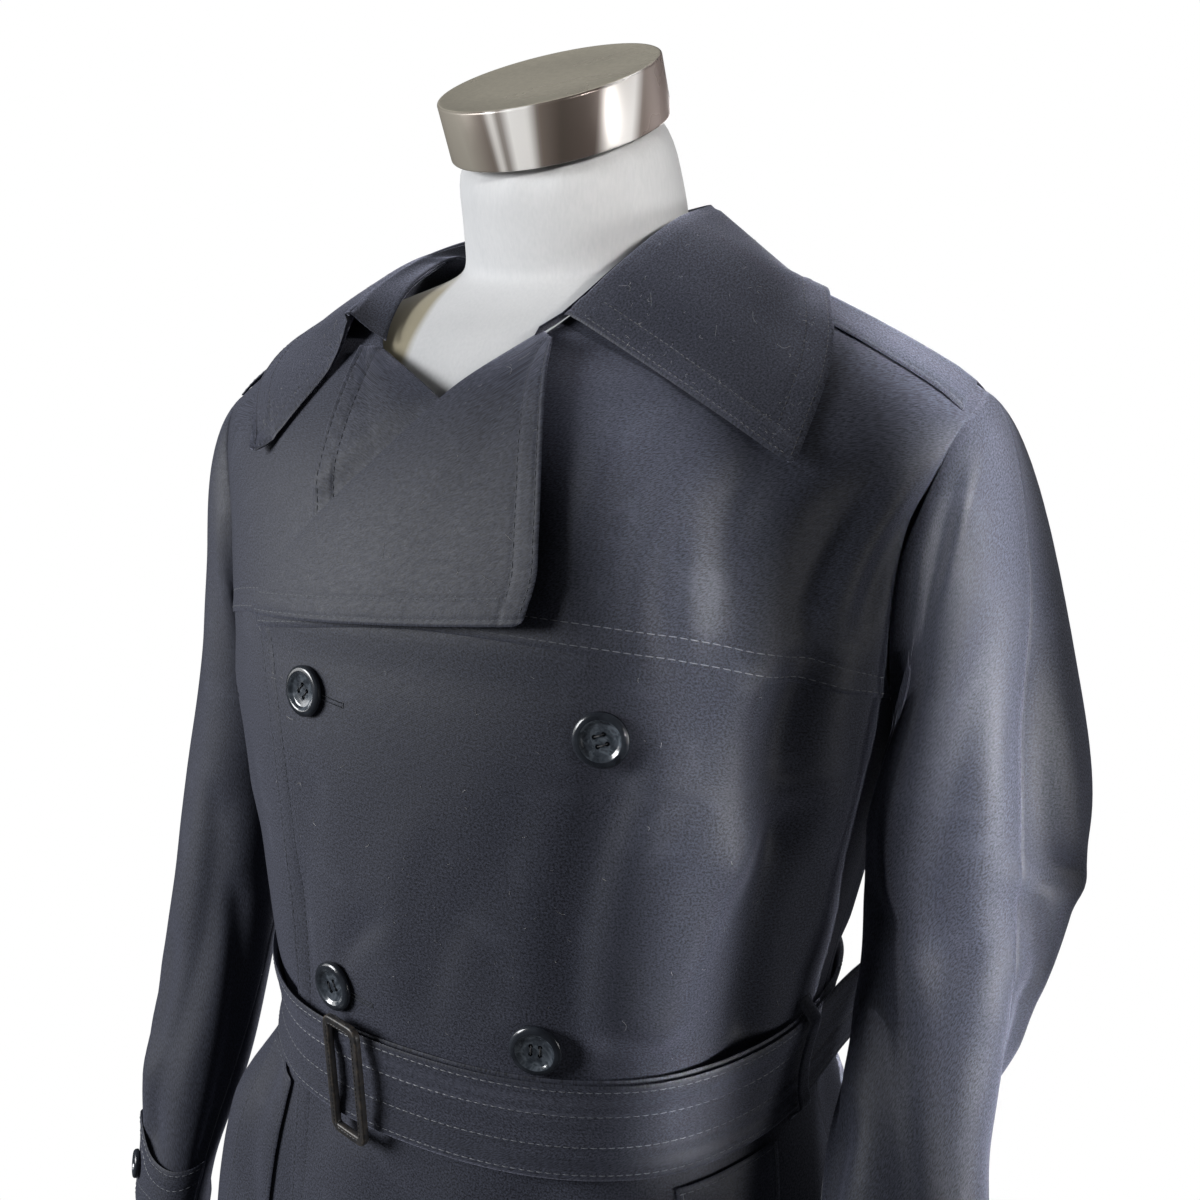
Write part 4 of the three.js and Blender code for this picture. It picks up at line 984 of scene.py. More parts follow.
def worn_leather():
    """Black leather, its grain broken by tan scuffs on the raised edges."""
    look = Look("worn_leather", 0.42, 0.5)
    grain = look.add("ShaderNodeTexVoronoi", {"Vector": look.body, "Scale": 900}).outputs["Distance"]
    scuff = look.ramp(look.noise(look.body, 210, 5.0, 0.75), [(0.44, BLACK), (0.6, WHITE)])
    patch = look.noise(look.body, 70, 3.0, 0.6)
    raised = look.add("ShaderNodeNewGeometry").outputs["Pointiness"]
    worn_edge = look.ramp(raised, [(0.5, BLACK), (0.58, WHITE)])
    base = look.ramp(patch, [(0.3, (0.010, 0.010, 0.011)), (0.7, (0.026, 0.025, 0.026))])
    rubbed = look.blend(1.0, worn_edge, scuff, "MULTIPLY")
    return look.finish({
        "Base Color": look.blend(rubbed, base, (0.20, 0.155, 0.105)),
        "Normal": look.bump(grain, 0.4, 0.00012),
    })


def pale_jersey():
    """White jersey with fine upright ribs, and painted warm shade in beige where the shoulder under the
    collar shows.
    """
    look = Look("white_jersey", 0.82, 0.3)
    rib = look.noise(look.scaled((1, 1, 0.22)), 700, 3.0, 0.6)
    cloud = look.noise(look.body, 14, 3.0, 0.5)
    tone = look.ramp(cloud, [(0.3, (0.45, 0.454, 0.46)), (0.7, (0.50, 0.502, 0.506))])
    shade = look.ramp(rib, [(0.3, (0.93, 0.935, 0.94)), (0.65, WHITE)])
    white = look.blend(1.0, tone, shade, "MULTIPLY")
    place_ = look.add("ShaderNodeSeparateXYZ", {0: look.body}).outputs
    # Mask of the painted shade: past the side of the neck and below its foot.
    past_neck = look.spread(place_["X"], 0, 1, -0.056, -0.062)
    shoulder = look.spread(place_["Z"], 0, 1, 1.512, 1.497)
    shoulder_painted_shade = look.maths("MULTIPLY", past_neck, shoulder)
    return look.finish({
        # Painted shade: the shoulder under the collar is coloured beige for the warm shade that falls there.
        "Base Color": look.blend(shoulder_painted_shade, white, (0.23, 0.205, 0.14)),
        "Normal": look.bump(rib, 0.25, 0.0003),
        "Sheen Weight": 0.15,
    })


def brushed_steel(name, brushing):
    """Brushed steel. brushing is the scale of the hairlines along x, y and z."""
    look = Look(name, 0.28, 0.5)
    hair = look.noise(look.scaled(brushing), 500, 4.0, 0.7)
    cloud = look.noise(look.body, 24, 3.0, 0.5)
    look.finish({
        "Metallic": 1,
        "Base Color": look.ramp(hair, [(0.25, (0.42, 0.39, 0.355)), (0.75, (0.60, 0.57, 0.53))]),
        "Roughness": look.spread(cloud, 0.22, 0.36),
        "Normal": look.bump(hair, 0.12, 0.0002),
    })
    return look


def satin_steel():
    """Warm brushed satin of the cap's flat top."""
    look = brushed_steel("steel_cap_top", (1.0, 0.05, 1.0))
    hair = look.noise(look.body, 380, 3.0, 0.6)
    tone = look.ramp(hair, [(0.3, (0.42, 0.39, 0.315)), (0.7, (0.52, 0.48, 0.39))])
    return look.finish({"Base Color": tone, "Metallic": 0.25})


def painted_reflection_steel():
    """Turned side of the cap: bright and dark upright streaks of painted reflection round it, as on polished
    drum steel.
    """
    look = brushed_steel("steel_cap_side_painted_reflections", (0.04, 0.04, 1.0))
    place_ = look.add("ShaderNodeSeparateXYZ", {0: look.body}).outputs
    front = look.maths("MULTIPLY", place_["Y"], -1)
    turn = look.maths("ARCTAN2", place_["X"], front)
    share = look.spread(turn, 0, 1, -math.pi, math.pi)
    # Painted reflection: the streaks are fixed colours round the cap that stand in for the lamps and room
    # mirrored in its steel.
    tone = look.ramp(share, [((degrees + 180) / 360, colour) for degrees, colour in CAP_PAINTED_REFLECTIONS])
    return look.finish({"Base Color": tone, "Metallic": 0.35})


GABARDINE = gabardine()
# Pale topstitching thread; the same colour also draws the sleeves' painted seam highlight.
PALE_THREAD_AND_SEAM_HIGHLIGHT = sewing_thread("pale_blue_thread_and_seam_highlight", (0.085, 0.092, 0.108))
DARK_THREAD = sewing_thread("dark_thread", (0.012, 0.012, 0.015))
LINT = sewing_thread("pale_lint", (0.34, 0.33, 0.31))
HORN = marbled_horn()
HORN_RIM = dark_horn()
LEATHER = worn_leather()
JERSEY = pale_jersey()
CAP_SIDE = painted_reflection_steel()
CAP_TOP = satin_steel()
STAND_STEEL = brushed_steel("steel_stand", (0.3, 0.3, 0.3)).material


# Placing pieces


def dress(piece, material, slot, *nodes):
    piece.data.materials.clear()
    piece.data.materials.append(material)
    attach(piece, "root")
    if nodes:
        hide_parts(*nodes)


def sew(name, rows, material=PALE_THREAD_AND_SEAM_HIGHLIGHT):
    """Stitches of one piece. Each row is a line of points and normals, pitch, reach and thread."""
    kept = [(*line, pitch, reach, thread) for line, pitch, reach, thread in rows if line is not None]
    dress(stitch_mesh(name, kept), material, "coat_cloth")


def rows_along(made, normals, lines, pitch=STITCH, reach=STITCH_REACH, thread=THREAD):
    """Rows of stitches on a grid. Each line is a side, a distance from it and what it ends short of."""
    return [(line_at(made, normals, *line), pitch, reach, thread) for line in lines]


def cloth(name, grid, away, sewn=(), wall=CLOTH, held="hung", rests=(), press=pressed):
    made = press(grid, away, sewn) if sewn else grid
    piece = shell(f"{name}_cloth", made, wall, away)
    dress(piece, GABARDINE, "coat_cloth", name)
    soften(piece)
    return made, grid_normals(made, away)[0]


def sewn_cloth(name, grid, away, sewn, pitch=STITCH, **sheet):
    """Cloth with a row of stitches along each of its sewn lines."""
    made, normals = cloth(name, grid, away, sewn, **sheet)
    lines = [(side, distance) for side, distances in sewn for distance in distances]
    sew(f"{name}_stitches", rows_along(made, normals, lines, pitch))
    return made, normals


# Body panels


def armhole_turn(side, level, back):
    share = read(ARMHOLE, level)[..., 2 if back else 1]
    turn = turn_of_share(share)
    return side * (np.pi - turn if back else turn)


def side_turn(side, level, back):
    above = armhole_turn(side, level, back)
    return np.where(level <= ARMPIT_LEVEL, side * np.pi / 2, above)


def neck_turn(side, level):
    return turn_at(read(NECKLINES[side], level)[..., 1], level)


def front_start(side, level):
    edge_x = read(FRONT_EDGE, level)[..., 1] if side > 0 else np.full(np.shape(level), float(UNDER_EDGE_X))
    return np.where(level > 8, neck_turn(side, level), turn_at(edge_x, level))


def back_top(share):
    top = mix(BACK_NECKLINE[0, 0], RIDGE_LEVEL, (np.clip(share, 0, NECK_SHARE) / NECK_SHARE) ** 1.8)
    return np.where(share >= NECK_SHARE, RIDGE_LEVEL, top)


def back_turn(side, level, share, climb):
    outer = side_turn(side, np.minimum(level, RIDGE_LEVEL), True)
    even = mix(side * np.pi, outer, share)
    ridge_share = (share - NECK_SHARE) / (1 - NECK_SHARE)
    ridge_turn = side * (np.pi - turn_at(BACK_NECKLINE[-1, 1], np.array(float(RIDGE_LEVEL))))
    on_neck = side * (np.pi - turn_at(read(BACK_NECKLINE, level)[..., 1], level))
    top = np.where(share < NECK_SHARE, on_neck, mix(ridge_turn, outer, ridge_share))
    return mix(even, top, smooth(climb))


def levels_for(low, high, step):
    """Levels between two levels, about a step of millimetres apart along the front."""
    fine = np.linspace(low, high, 600)
    line = skin(np.zeros(600), fine)
    run = np.concatenate([[0], np.cumsum(np.linalg.norm(np.diff(line, axis=0), axis=1))])
    count = max(2, int(round(run[-1] / step)))
    return np.interp(np.linspace(0, run[-1], count + 1), run, fine)


def panel_levels(top, climb, columns):
    """Levels of a panel's rows: even up to the armpit, then drawn up to its own top line."""
    low = levels_for(0, 2, HIDDEN_COARSE)
    high = levels_for(2, ARMPIT_LEVEL, COARSE)
    lower = np.repeat(np.concatenate([low, high[1:]])[:, None], len(columns), axis=1)
    return np.concatenate([lower, mix(ARMPIT_LEVEL, top[None, :], climb[:, None])])


def front_grid(side):
    columns = spaced(330, COARSE, fine_start=17)
    climb = spaced(62, COARSE, fine_end=6)[1:]
    level = panel_levels(read(YOKE_SEAM, columns)[..., 1], climb, columns)
    turn = mix(front_start(side, level), side_turn(side, level, False), columns[None, :])
    return layer_point(side, turn, level, 0.0)


def yoke_grid(side):
    """The yoke, whose foot laps over the front's top edge."""
    columns = spaced(330, COARSE)
    seam = read(YOKE_SEAM, columns)[..., 1]
    climb = spaced(215, COARSE, fine_start=17)
    level = mix(seam[None, :], RIDGE_LEVEL, climb[:, None])
    turn = mix(front_start(side, level), side_turn(side, level, False), columns[None, :])
    grid = layer_point(side, turn, level, 0.0)
    normals, _ = grid_normals(grid, grid - np.array([0, 0, 1350.0]))
    lap = YOKE_LAP * (1 - smooth(distance_from(grid, "foot") / YOKE_LAP_WIDTH))
    grid = grid + normals * lap[..., None]
    grid[0] = grid[0] + unit(grid[0] - grid[1]) * YOKE_OVERHANG
    return grid


def back_grid(side):
    columns = spaced(255, BACK_COARSE)
    climb = spaced(230, BACK_COARSE)[1:]
    level = panel_levels(back_top(columns), climb, columns)
    climbs = np.concatenate([np.zeros(len(level) - len(climb)), climb])[:, None]
    share = np.broadcast_to(columns[None, :], level.shape)
    return place(back_turn(side, level, share, climbs), level, 0.0)


def drawn_in(grid, sides=("foot", "head", "start", "end")):
    """Draws the edges of a grid in, so that neighbours stand a seam apart."""
    step = SEAM / 2
    result = grid.copy()
    if "start" in sides:
        result[:, 0] += unit(grid[:, 1] - grid[:, 0]) * step
    if "end" in sides:
        result[:, -1] += unit(grid[:, -2] - grid[:, -1]) * step
    if "foot" in sides:
        result[0] += unit(grid[1] - grid[0]) * step
    if "head" in sides:
        result[-1] += unit(grid[-2] - grid[-1]) * step
    return result


def panel(name, grid, side, distances, pitch=STITCH):
    sewn_cloth(name, grid, grid * LEVELLED, [(side, distances)], pitch, rests=["form_torso"])


def make_body():
    for side, name in SIDES:
        panel(f"front_{name}", drawn_in(front_grid(side)), "start", EDGE_ROWS if side > 0 else (EDGE_ROW,))
    for side, name in SIDES:
        grid = drawn_in(yoke_grid(side), sides=("start", "end", "head"))
        panel(f"yoke_{name}", grid, "foot", YOKE_ROWS, YOKE_STITCH)
    for side, name in SIDES:
        panel(f"back_{name}", drawn_in(back_grid(side)), "start", (BACK_ROW,))


# Clearance over the coat's surface


def surface_tree():
    points = []
    normals = []
    for side in (1, -1):
        level = np.arange(2.5, RIDGE_LEVEL, 0.08)[:, None]
        share = np.linspace(0, 1, 60)[None, :]
        turn = mix(front_start(side, level), side_turn(side, level, False), share)
        level_all = np.broadcast_to(level, turn.shape)
        points.append(layer_point(side, turn, level_all, 0.0).reshape(-1, 3))
        normals.append(outward(turn, level_all).reshape(-1, 3))
        turn = mix(side * np.pi, side_turn(side, level, True), share)
        at = place(turn, level_all, 0.0)
        neck = read(BACK_NECKLINE, level_all)[..., 1]
        on_back = (level_all < BACK_NECKLINE[0, 0]) | (np.abs(at[..., 0]) > neck - 2)
        points.append(at[on_back])
        normals.append(outward(turn, level_all)[on_back])
    points = np.concatenate(points)
    normals = np.concatenate(normals)
    tree = KDTree(len(points))
    for i, p in enumerate(points):
        tree.insert(p, i)
    tree.balance()
    return tree, points, normals


TREE, TREE_POINTS, TREE_NORMALS = surface_tree()


def kept_above(grid, gap):
    """Moves points of a grid out until they stand a gap clear of the coat's surface."""
    flat = grid.reshape(-1, 3).copy()
    gaps = np.broadcast_to(gap, grid.shape[:2]).ravel()
    for i in range(len(flat)):
        for _ in range(3):
            _, at, _ = TREE.find(flat[i])
            height = float(np.dot(flat[i] - TREE_POINTS[at], TREE_NORMALS[at]))
            if height >= gaps[i]:
                break
            flat[i] += TREE_NORMALS[at] * (gaps[i] - height)
    return flat.reshape(grid.shape)


def blurred(field, times):
    """Evens a field over a grid by averaging each point with its neighbours."""
    for _ in range(times):
        padded = np.pad(field, ((1, 1), (1, 1), (0, 0)), mode="edge")
        beside = padded[1:-1, :-2] + padded[1:-1, 2:] + padded[:-2, 1:-1] + padded[2:, 1:-1]
        field = 0.5 * field + 0.125 * beside
    return field


# Lapels


def lapel_lift(side, lapel, x, z, out):
    roll = 1.2 * np.sin(np.pi * np.minimum(out * 1.6, 1))
    if side > 0:
        return REST + 0.3 + roll + lapel["proud"] * out ** 1.5
    left_roll_x = mix(-123, -12, (z - 1330) / 105)
    free = smooth((left_roll_x - 7 - x) / 26) * smooth((z - 1372) / 30)
    return REST + free * (roll + lapel["proud"] * out)


def lapel_levels(lapel, along):
    return mix(lapel["levels"][0], lapel["levels"][1], along)


def lapel_leaf(side, along, out, lift):
    lapel = LAPELS[side]
    level = lapel_levels(lapel, along)
    roll = skin(neck_turn(side, level), level)
    corner = 0.03 * smooth((out - 0.6) / 0.4) * (1 - smooth(along / 0.2))
    edge_x = mix(lapel["tip"][0], lapel["notch"][0], along)
    edge_z = mix(lapel["tip"][1], lapel["notch"][1], along)
    bow = lapel["bow"] * np.sin(np.pi * along) * out
    x = mix(roll[..., 0], edge_x, out * (1 - corner)) + bow
    z = mix(roll[..., 2], edge_z, out)
    turn, level = front_spot(x, z)
    return layer_point(side, turn, level, lapel_lift(side, lapel, x, z, out) + lift)


def lapel_grid(side):
    """The turned-out leaf, carried on round the front's edge and a little way down inside it."""
    along = spaced(170, 3.4, fine_start=16)
    out = spaced(150, 3.4, fine_end=16)
    leaf = lapel_leaf(side, along[:, None], out[None, :], SOLID_CLOTH)
    level = lapel_levels(LAPELS[side], along)
    turn = neck_turn(side, level)
    normal = outward(turn, level)
    inward = unit(leaf[:, 3] - leaf[:, 0])
    centre = layer_point(side, turn, level, 0.0) - normal * 0.3
    radius = SOLID_CLOTH + 1.7
    rolled = [centre - normal * radius + inward * reach for reach in (9, 4)]
    for swing in np.pi * np.arange(ROLL_COLUMNS - 2) / 4:
        rolled.append(centre - normal * radius * math.cos(swing) - inward * radius * math.sin(swing))
    return np.concatenate([np.stack(rolled, axis=1), leaf[:, 1:]], axis=1)


def make_lapels():
    away = np.array([0, -1, 0.2])
    for side, name in SIDES:
        grid = lapel_grid(side)
        grid[:, ROLL_COLUMNS:] = drawn_in(grid[:, ROLL_COLUMNS:], sides=("head",))
        grid = corner_rounded(grid, "foot", "end", 6)
        edges = ("end", "foot") if side > 0 else ("end",)
        sewn = [(edge, EDGE_ROWS) for edge in edges]
        made, normals = cloth(f"lapel_{name}", grid, away, sewn, held="folded", rests=[f"yoke_{name}"])
        lines = []
        for d in EDGE_ROWS:
            ends = {"end": [("foot", d)], "foot": [("end", d), ("start", 16)]}
            lines += [(edge, d, ends[edge]) for edge in edges]
        sew(f"lapel_{name}_stitches", rows_along(made, normals, lines))


# Collar


def collar_fold(share):
    return read(COLLAR, share)[..., 1:4]


def collar_edge(share):
    return read(COLLAR, share)[..., 4:7]


def fold_way(share, step):
    return collar_fold(np.minimum(share + step, 1)) - collar_fold(np.maximum(share - step, 0))


def neck_foot(share):
    """Foot of the collar stand on the neckline, from the left front round to the right front."""
    way = np.where(share < 0.5, share / 0.5, (1 - share) / 0.5)
    return np.where((share < 0.5)[..., None], neck_foot_on(1, way), neck_foot_on(-1, way))


def neck_foot_on(side, way):
    level = mix(NECK_FRONT_LEVELS[side], RIDGE_LEVEL, np.clip(way / NECK_FRONT_SHARE, 0, 1))
    front = layer_point(side, neck_turn(side, level), level, 0.0)
    back_way = (way - NECK_FRONT_SHARE) / (1 - NECK_FRONT_SHARE)
    share = NECK_SHARE * (1 - np.clip(back_way, 0, 1))
    level = back_top(share)
    back = place(back_turn(side, level, share, np.ones(np.shape(share))), level, 0.0)
    return np.where((way < NECK_FRONT_SHARE)[..., None], front, back)


def collar_shares():
    return spaced(560, 5.0, fine_start=16, fine_end=16)


def eased(line, share, reach, count):
    """A line of the collar averaged over a reach of shares on either side."""
    steps = np.linspace(-reach, reach, count)
    return np.mean([line(np.clip(share + step, 0, 1)) for step in steps], axis=0)


def collar_out(share):
    """Outward and upward directions of the stand at its fold, eased along the neck."""
    fold = eased(collar_fold, share, 0.05, 9)
    up = unit(fold - eased(neck_foot, share, 0.05, 9))
    out = unit(np.cross(fold_way(share, 0.01), up))
    side = fold[..., 0] * out[..., 0] + (fold[..., 1] - 20) * out[..., 1]
    return np.where((side < 0)[..., None], -out, out), up


def stand_grid():
    """The stand, with a tab at its front that runs in under the lapel."""
    share = collar_shares()
    out, up = collar_out(share)
    tucked = 2.2 + 4 * smooth((0.08 - share) / 0.08)[:, None]
    bottom = eased(neck_foot, share, 0.012, 3) - up * tucked - out * 2.2
    top = collar_fold(share) - up * 3.2 - out * 1.4
    rows = np.linspace(0, 1, 12)[:, None, None]
    bow = np.sin(np.pi * rows) * 0.8
    grid = bottom[None] * (1 - rows) + top[None] * rows + out[None] * bow
    level = np.array(STAND_FRONT_LEVEL)
    corner = layer_point(1, neck_turn(1, level), level, 2.0)
    corner = corner + up[:1] * (rows * (STAND_FRONT_RISE + STAND_FRONT_FOOT) - STAND_FRONT_FOOT)
    front = [corner * (1 - way) + grid[:, :1] * way for way in np.linspace(0, 1, 9)[:-1]]
    return np.concatenate(front + [grid], axis=1)


def fall_grid():
    """The fall, from just inside its fold down to its edge, kept clear of the coat and the straps."""
    share = collar_shares()
    out, up = collar_out(share)
    fold = collar_fold(share)
    edge = collar_edge(share)
    rolled = [fold - up * 2.4 - out * 0.9, fold - up * 0.6 - out * 0.4, fold + out * 0.9 + up * 0.7]
    down = spaced(95, 3.6, fine_end=16)[1:]
    face = unit(np.cross(fold_way(share, 0.02), edge - fold))
    face = np.where((face[..., 2] < 0)[..., None], -face, face)
    rows = down[:, None, None]
    round_end = COLLAR_ROUND * np.sin(np.pi * rows) ** 0.6 * smooth((share - 0.86) / 0.14)[None, :, None]
    lift = 3.5 * np.sin(np.pi * rows) + 2.0 * smooth(rows / 0.08)
    wave = 0.9 * np.sin(share * 23 + 1.2)[None, :, None] * smooth((rows - 0.3) / 0.7)
    fall = fold[None] * (1 - rows) + edge[None] * rows + face[None] * (lift + wave)
    fall = fall + unit(np.array(COLLAR_ROUND_WAY)) * round_end
    along_strap = smooth((np.abs(fall[..., 0]) - STRAP["inner"] + 34) / 30)
    across_strap = 1 - smooth((np.abs(fall[..., 1] - STRAP["middle"]) - 22) / 26)
    gap = 3.0 + (STRAP["rest"] + 2.6) * along_strap * across_strap
    moved = blurred(kept_above(fall, gap) - fall, 6)
    near = smooth((down - 0.1) / 0.15)[:, None, None]
    fall = kept_above(fall + moved * near, mix(-20, gap - 0.8, near[..., 0]))
    return np.concatenate([np.stack(rolled), fall])


def make_collar():
    stand = drawn_in(stand_grid())
    cloth("collar_stand", stand, stand * LEVELLED, held="folded", rests=["back_left"])
    fall = corner_rounded(fall_grid(), "head", "start", 6)
    fall = corner_rounded(fall, "head", "end", 5)
    sewn = [(edge, COLLAR_ROWS) for edge in ("head", "start", "end")]
    rests = ["yoke_left", "yoke_right"]
    made, normals = cloth("collar_fall", fall, UP, sewn, wall=1.8, held="folded", rests=rests)
    lines = []
    for d in COLLAR_ROWS:
        lines.append(("head", d, [("start", d), ("end", d)]))
        lines += [(edge, d, [("head", d), ("foot", 12)]) for edge in ("start", "end")]
    sew("collar_fall_stitches", rows_along(made, normals, lines, CLOSE_STITCH, 0.6, 0.24), DARK_THREAD)


# Shoulder straps


def ridge_level(x, away, back):
    """Level at which the shoulder's cloth lies this far in front of or behind its ridge."""
    def is_below(level):
        row = read(BODY, level)
        across = np.minimum(x / row[..., 2], 1) ** SQUARENESS
        return np.where(back, row[..., 5], row[..., 4]) * (1 - across) ** (1 / SQUARENESS) > away
    return level_where(is_below, np.shape(x), 9.0, 30)


def strap_grid(side):
    along = spaced(118, 4.0)[None, :]
    across = spaced(48, 2.0, fine_start=5, fine_end=5)[:, None]
    x = mix(STRAP["inner"], STRAP["outer"], along) + 0 * across
    half = mix(STRAP["inner_half"], STRAP["outer_half"], along)
    y = STRAP["middle"] + mix(-half, half, across)
    back = y > BODY[-1, 6]
    level = ridge_level(x, np.abs(y - BODY[-1, 6]), back)
    turn = turn_at(x, level)
    lift = STRAP["rest"] + SOLID_CLOTH + 0.7 * np.sin(np.pi * across) + 0 * x
    grid = place(side * np.where(back, np.pi - turn, turn), level, lift, False)
    tucked = 1.4 * smooth((along - 0.9) / 0.1)
    return grid - stack(0 * tucked, 0 * tucked, tucked + 0 * across)


def make_straps():
    sewn = [(edge, (STRAP_ROW,)) for edge in ("foot", "head")]
    for side, name in SIDES:
        rests = [f"yoke_{name}", f"back_{name}"]
        grid = drawn_in(strap_grid(side))
        sewn_cloth(f"epaulette_{name}", grid, UP, sewn, wall=1.4, held="laid", rests=rests)


# Sleeves


def armhole_loop(side):
    """Armhole points and their shares of the sleeve's round, in the solids' own rows."""
    seam_level = read(YOKE_SEAM, np.array(1.0))[1]
    yoke = mix(seam_level, RIDGE_LEVEL, np.arange(9) / 8)[::-1]
    chest = mix(ARMPIT_LEVEL, seam_level, np.arange(3) / 2)[::-1][1:]
    front_levels = np.concatenate([yoke, chest])
    back_levels = mix(ARMPIT_LEVEL, RIDGE_LEVEL, np.arange(1, 12) / 11)
    front = layer_point(side, side_turn(side, front_levels, False), front_levels, 0.0, False)
    behind = place(side_turn(side, back_levels, True), back_levels, 0.0, False)
    points = np.concatenate([front, behind])
    run = np.concatenate([[0], np.cumsum(np.linalg.norm(np.diff(points, axis=0), axis=1))])
    under = len(front) - 1
    front_part = 0.5 * run / run[under]
    back_part = 0.5 + 0.5 * (run - run[under]) / (run[-1] - run[under])
    shares = np.where(np.arange(len(run)) <= under, front_part, back_part)
    return np.concatenate([shares[:, None], points], axis=1)


def sleeve_ring(side, rows, step, share):
    row = read(rows, step)
    turn = np.radians(row[..., 7])
    round_ = np.radians(row[..., 8] + 360 * share)
    along = row[..., 4] * np.cos(round_)
    over = np.where(np.sin(round_) > 0, row[..., 5], row[..., 6]) * np.sin(round_)
    x = row[..., 1] + along * np.cos(turn) + over * np.sin(turn)
    y = row[..., 2] + along * np.sin(turn) - over * np.cos(turn)
    tilt = (x - row[..., 1]) * 0.12 * smooth(np.asarray(step) / 3)
    return stack(side * x, y, row[..., 3] + tilt)


def cap_point(side, rows, loop, share, climb):
    start = read(loop, share)[..., 1:4]
    end = sleeve_ring(side, rows, np.zeros(np.shape(share)), share)
    ahead = sleeve_ring(side, rows, np.full(np.shape(share), 0.3), share)
    round_ = 2 * np.pi * share
    top = 0.5 + 0.5 * np.cos(round_)
    leave = unit(stack(side * mix(1.0, 0.92, top), -0.32 * np.sin(round_), mix(-0.25, -0.5, top)))
    arrive = unit(ahead - end)
    reach = np.linalg.norm(start - end, axis=-1, keepdims=True)
    start = start + leave * 0.45
    t = climb
    share_end = t * t * (3 - 2 * t)
    pull_start = t * (1 - t) ** 2
    pull_end = -t * t * (1 - t)
    leave_reach = mix(0.9, 0.62, top)[..., None] * np.minimum(reach, 150)
    p = start * (1 - share_end) + end * share_end
    return p + leave * pull_start * leave_reach + arrive * pull_end * reach * 0.9


def sleeve_grid(side, from_share, to_share):
    """One half of a sleeve, cap and arm, and the middle of each of its rings."""
    rows = SLEEVES[side]
    loop = armhole_loop(side)
    share = np.linspace(from_share, to_share, 60)[None, :]
    climbs = np.linspace(0, 1, 34)[:-1]
    steps = np.linspace(0, SLEEVE_LAST_STEP, 96)
    cap = [cap_point(side, rows, loop, share, climb) for climb in climbs]
    arm = sleeve_ring(side, rows, np.repeat(steps[:, None], 60, axis=1), share)
    grid = np.concatenate(cap + [arm])
    row = read(rows, steps)
    rings = stack(side * row[:, 1], row[:, 2], row[:, 3])
    centre = np.concatenate([np.repeat(rings[:1], len(climbs), axis=0), rings])[:, None]
    normals, _ = grid_normals(grid, grid - centre)
    at_step = np.concatenate([(climbs - 1) * CAP_STEPS, steps])[:, None] + 0 * share
    lift = sleeve_crease(at_step, share + 0 * at_step, SLEEVE_CREASES[side])
    return grid + normals * lift[..., None], centre


def sleeve_crease(step, share, creases):
    """Creases of a sleeve, which run on across its seams."""
    scale = [SLEEVE_STEP_LENGTH, SLEEVE_ROUND_LENGTH, SLEEVE_STEP_LENGTH, SLEEVE_ROUND_LENGTH, 1, 1, 1]
    lift = 0
    for wrap in (-1, 0, 1):
        rows = (creases + [0, wrap, 0, wrap, 0, 0, 0]) * scale
        lift = lift + crease_lift(
            step * SLEEVE_STEP_LENGTH, share * SLEEVE_ROUND_LENGTH, rows, SLEEVE_CREASE_FADE
        )
    seam_start = smooth((step + CAP_STEPS) / 0.35)
    cuff = smooth((SLEEVE_LAST_STEP - step) / 0.2)
    strap = 1 - 0.9 * smooth((0.55 - np.abs(step - CUFF_STRAP_STEP)) / 0.25)
    return lift * seam_start * cuff * strap


def make_sleeves():
    for side, name in SIDES:
        rests = [f"yoke_{name}", f"back_{name}"]
        for part, low, high in (("front", 0.0, 0.5), ("back", 0.5, 1.0)):
            grid, centre = sleeve_grid(side, low, high)
            grid = drawn_in(grid)
            sewn = [("head", (CUFF_ROW,))]
            made, normals = sewn_cloth(f"sleeve_{name}_{part}", grid, grid - centre, sewn, rests=rests)
            if part == "front":
                # Painted highlight: an unbroken line in the pale thread's colour along the seam edge stands
                # for the light that edge catches.
                seam = line_at(made, normals, "end", 0.9)
                sew(f"sleeve_{name}_seam_painted_highlight", [(seam, 60, 0.99, 0.3)])


def ring_out(side, rows, step, share):
    across = sleeve_ring(side, rows, step, share + 0.01) - sleeve_ring(side, rows, step, share - 0.01)
    down = sleeve_ring(side, rows, step + 0.05, share) - sleeve_ring(side, rows, step - 0.05, share)
    normal = unit(np.cross(across, down))
    row = read(rows, step)
    centre = stack(side * row[..., 1], row[..., 2], row[..., 3])
    away = sleeve_ring(side, rows, step, share) - centre
    inside = np.sum(normal * away, axis=-1, keepdims=True) < 0
    return np.where(inside, -normal, normal)


def cuff_point(side, share, offset, lift):
    """A point by the cuff strap: share round the sleeve, offset towards the shoulder, lift off the cloth."""
    rows = SLEEVES[side]
    row, ahead = read(rows, np.array([CUFF_STRAP_STEP, CUFF_STRAP_STEP + 1]))
    step_length = float(np.linalg.norm(ahead[1:4] - row[1:4]))
    step = CUFF_STRAP_STEP - np.asarray(offset, float) / step_length
    share = np.asarray(share, float) + 0 * step
    return sleeve_ring(side, rows, step, share) + ring_out(side, rows, step, share) * lift


def make_cuff_straps():
    for side, name in SIDES:
        share = mix(CUFF_STRAP[0, 0], CUFF_STRAP[-1, 0], spaced(150, 2.6, fine_start=6))[None, :]
        edge = read(CUFF_STRAP, share)
        offset = mix(edge[..., 1], edge[..., 2], spaced(24, 1.6)[:, None])
        grid = cuff_point(side, share, offset, CUFF_STRAP_REST + CUFF_STRAP_CLOTH)
        row = read(SLEEVES[side], np.array(CUFF_STRAP_STEP))
        away = grid - np.array([side * row[1], row[2], row[3]])
        sewn = [(edge, CUFF_STRAP_ROWS) for edge in ("foot", "head")]
        rests = [f"sleeve_{name}_front"]
        sewn_cloth(f"cuff_strap_{name}", grid, away, sewn, wall=1.6, held="laid", rests=rests)


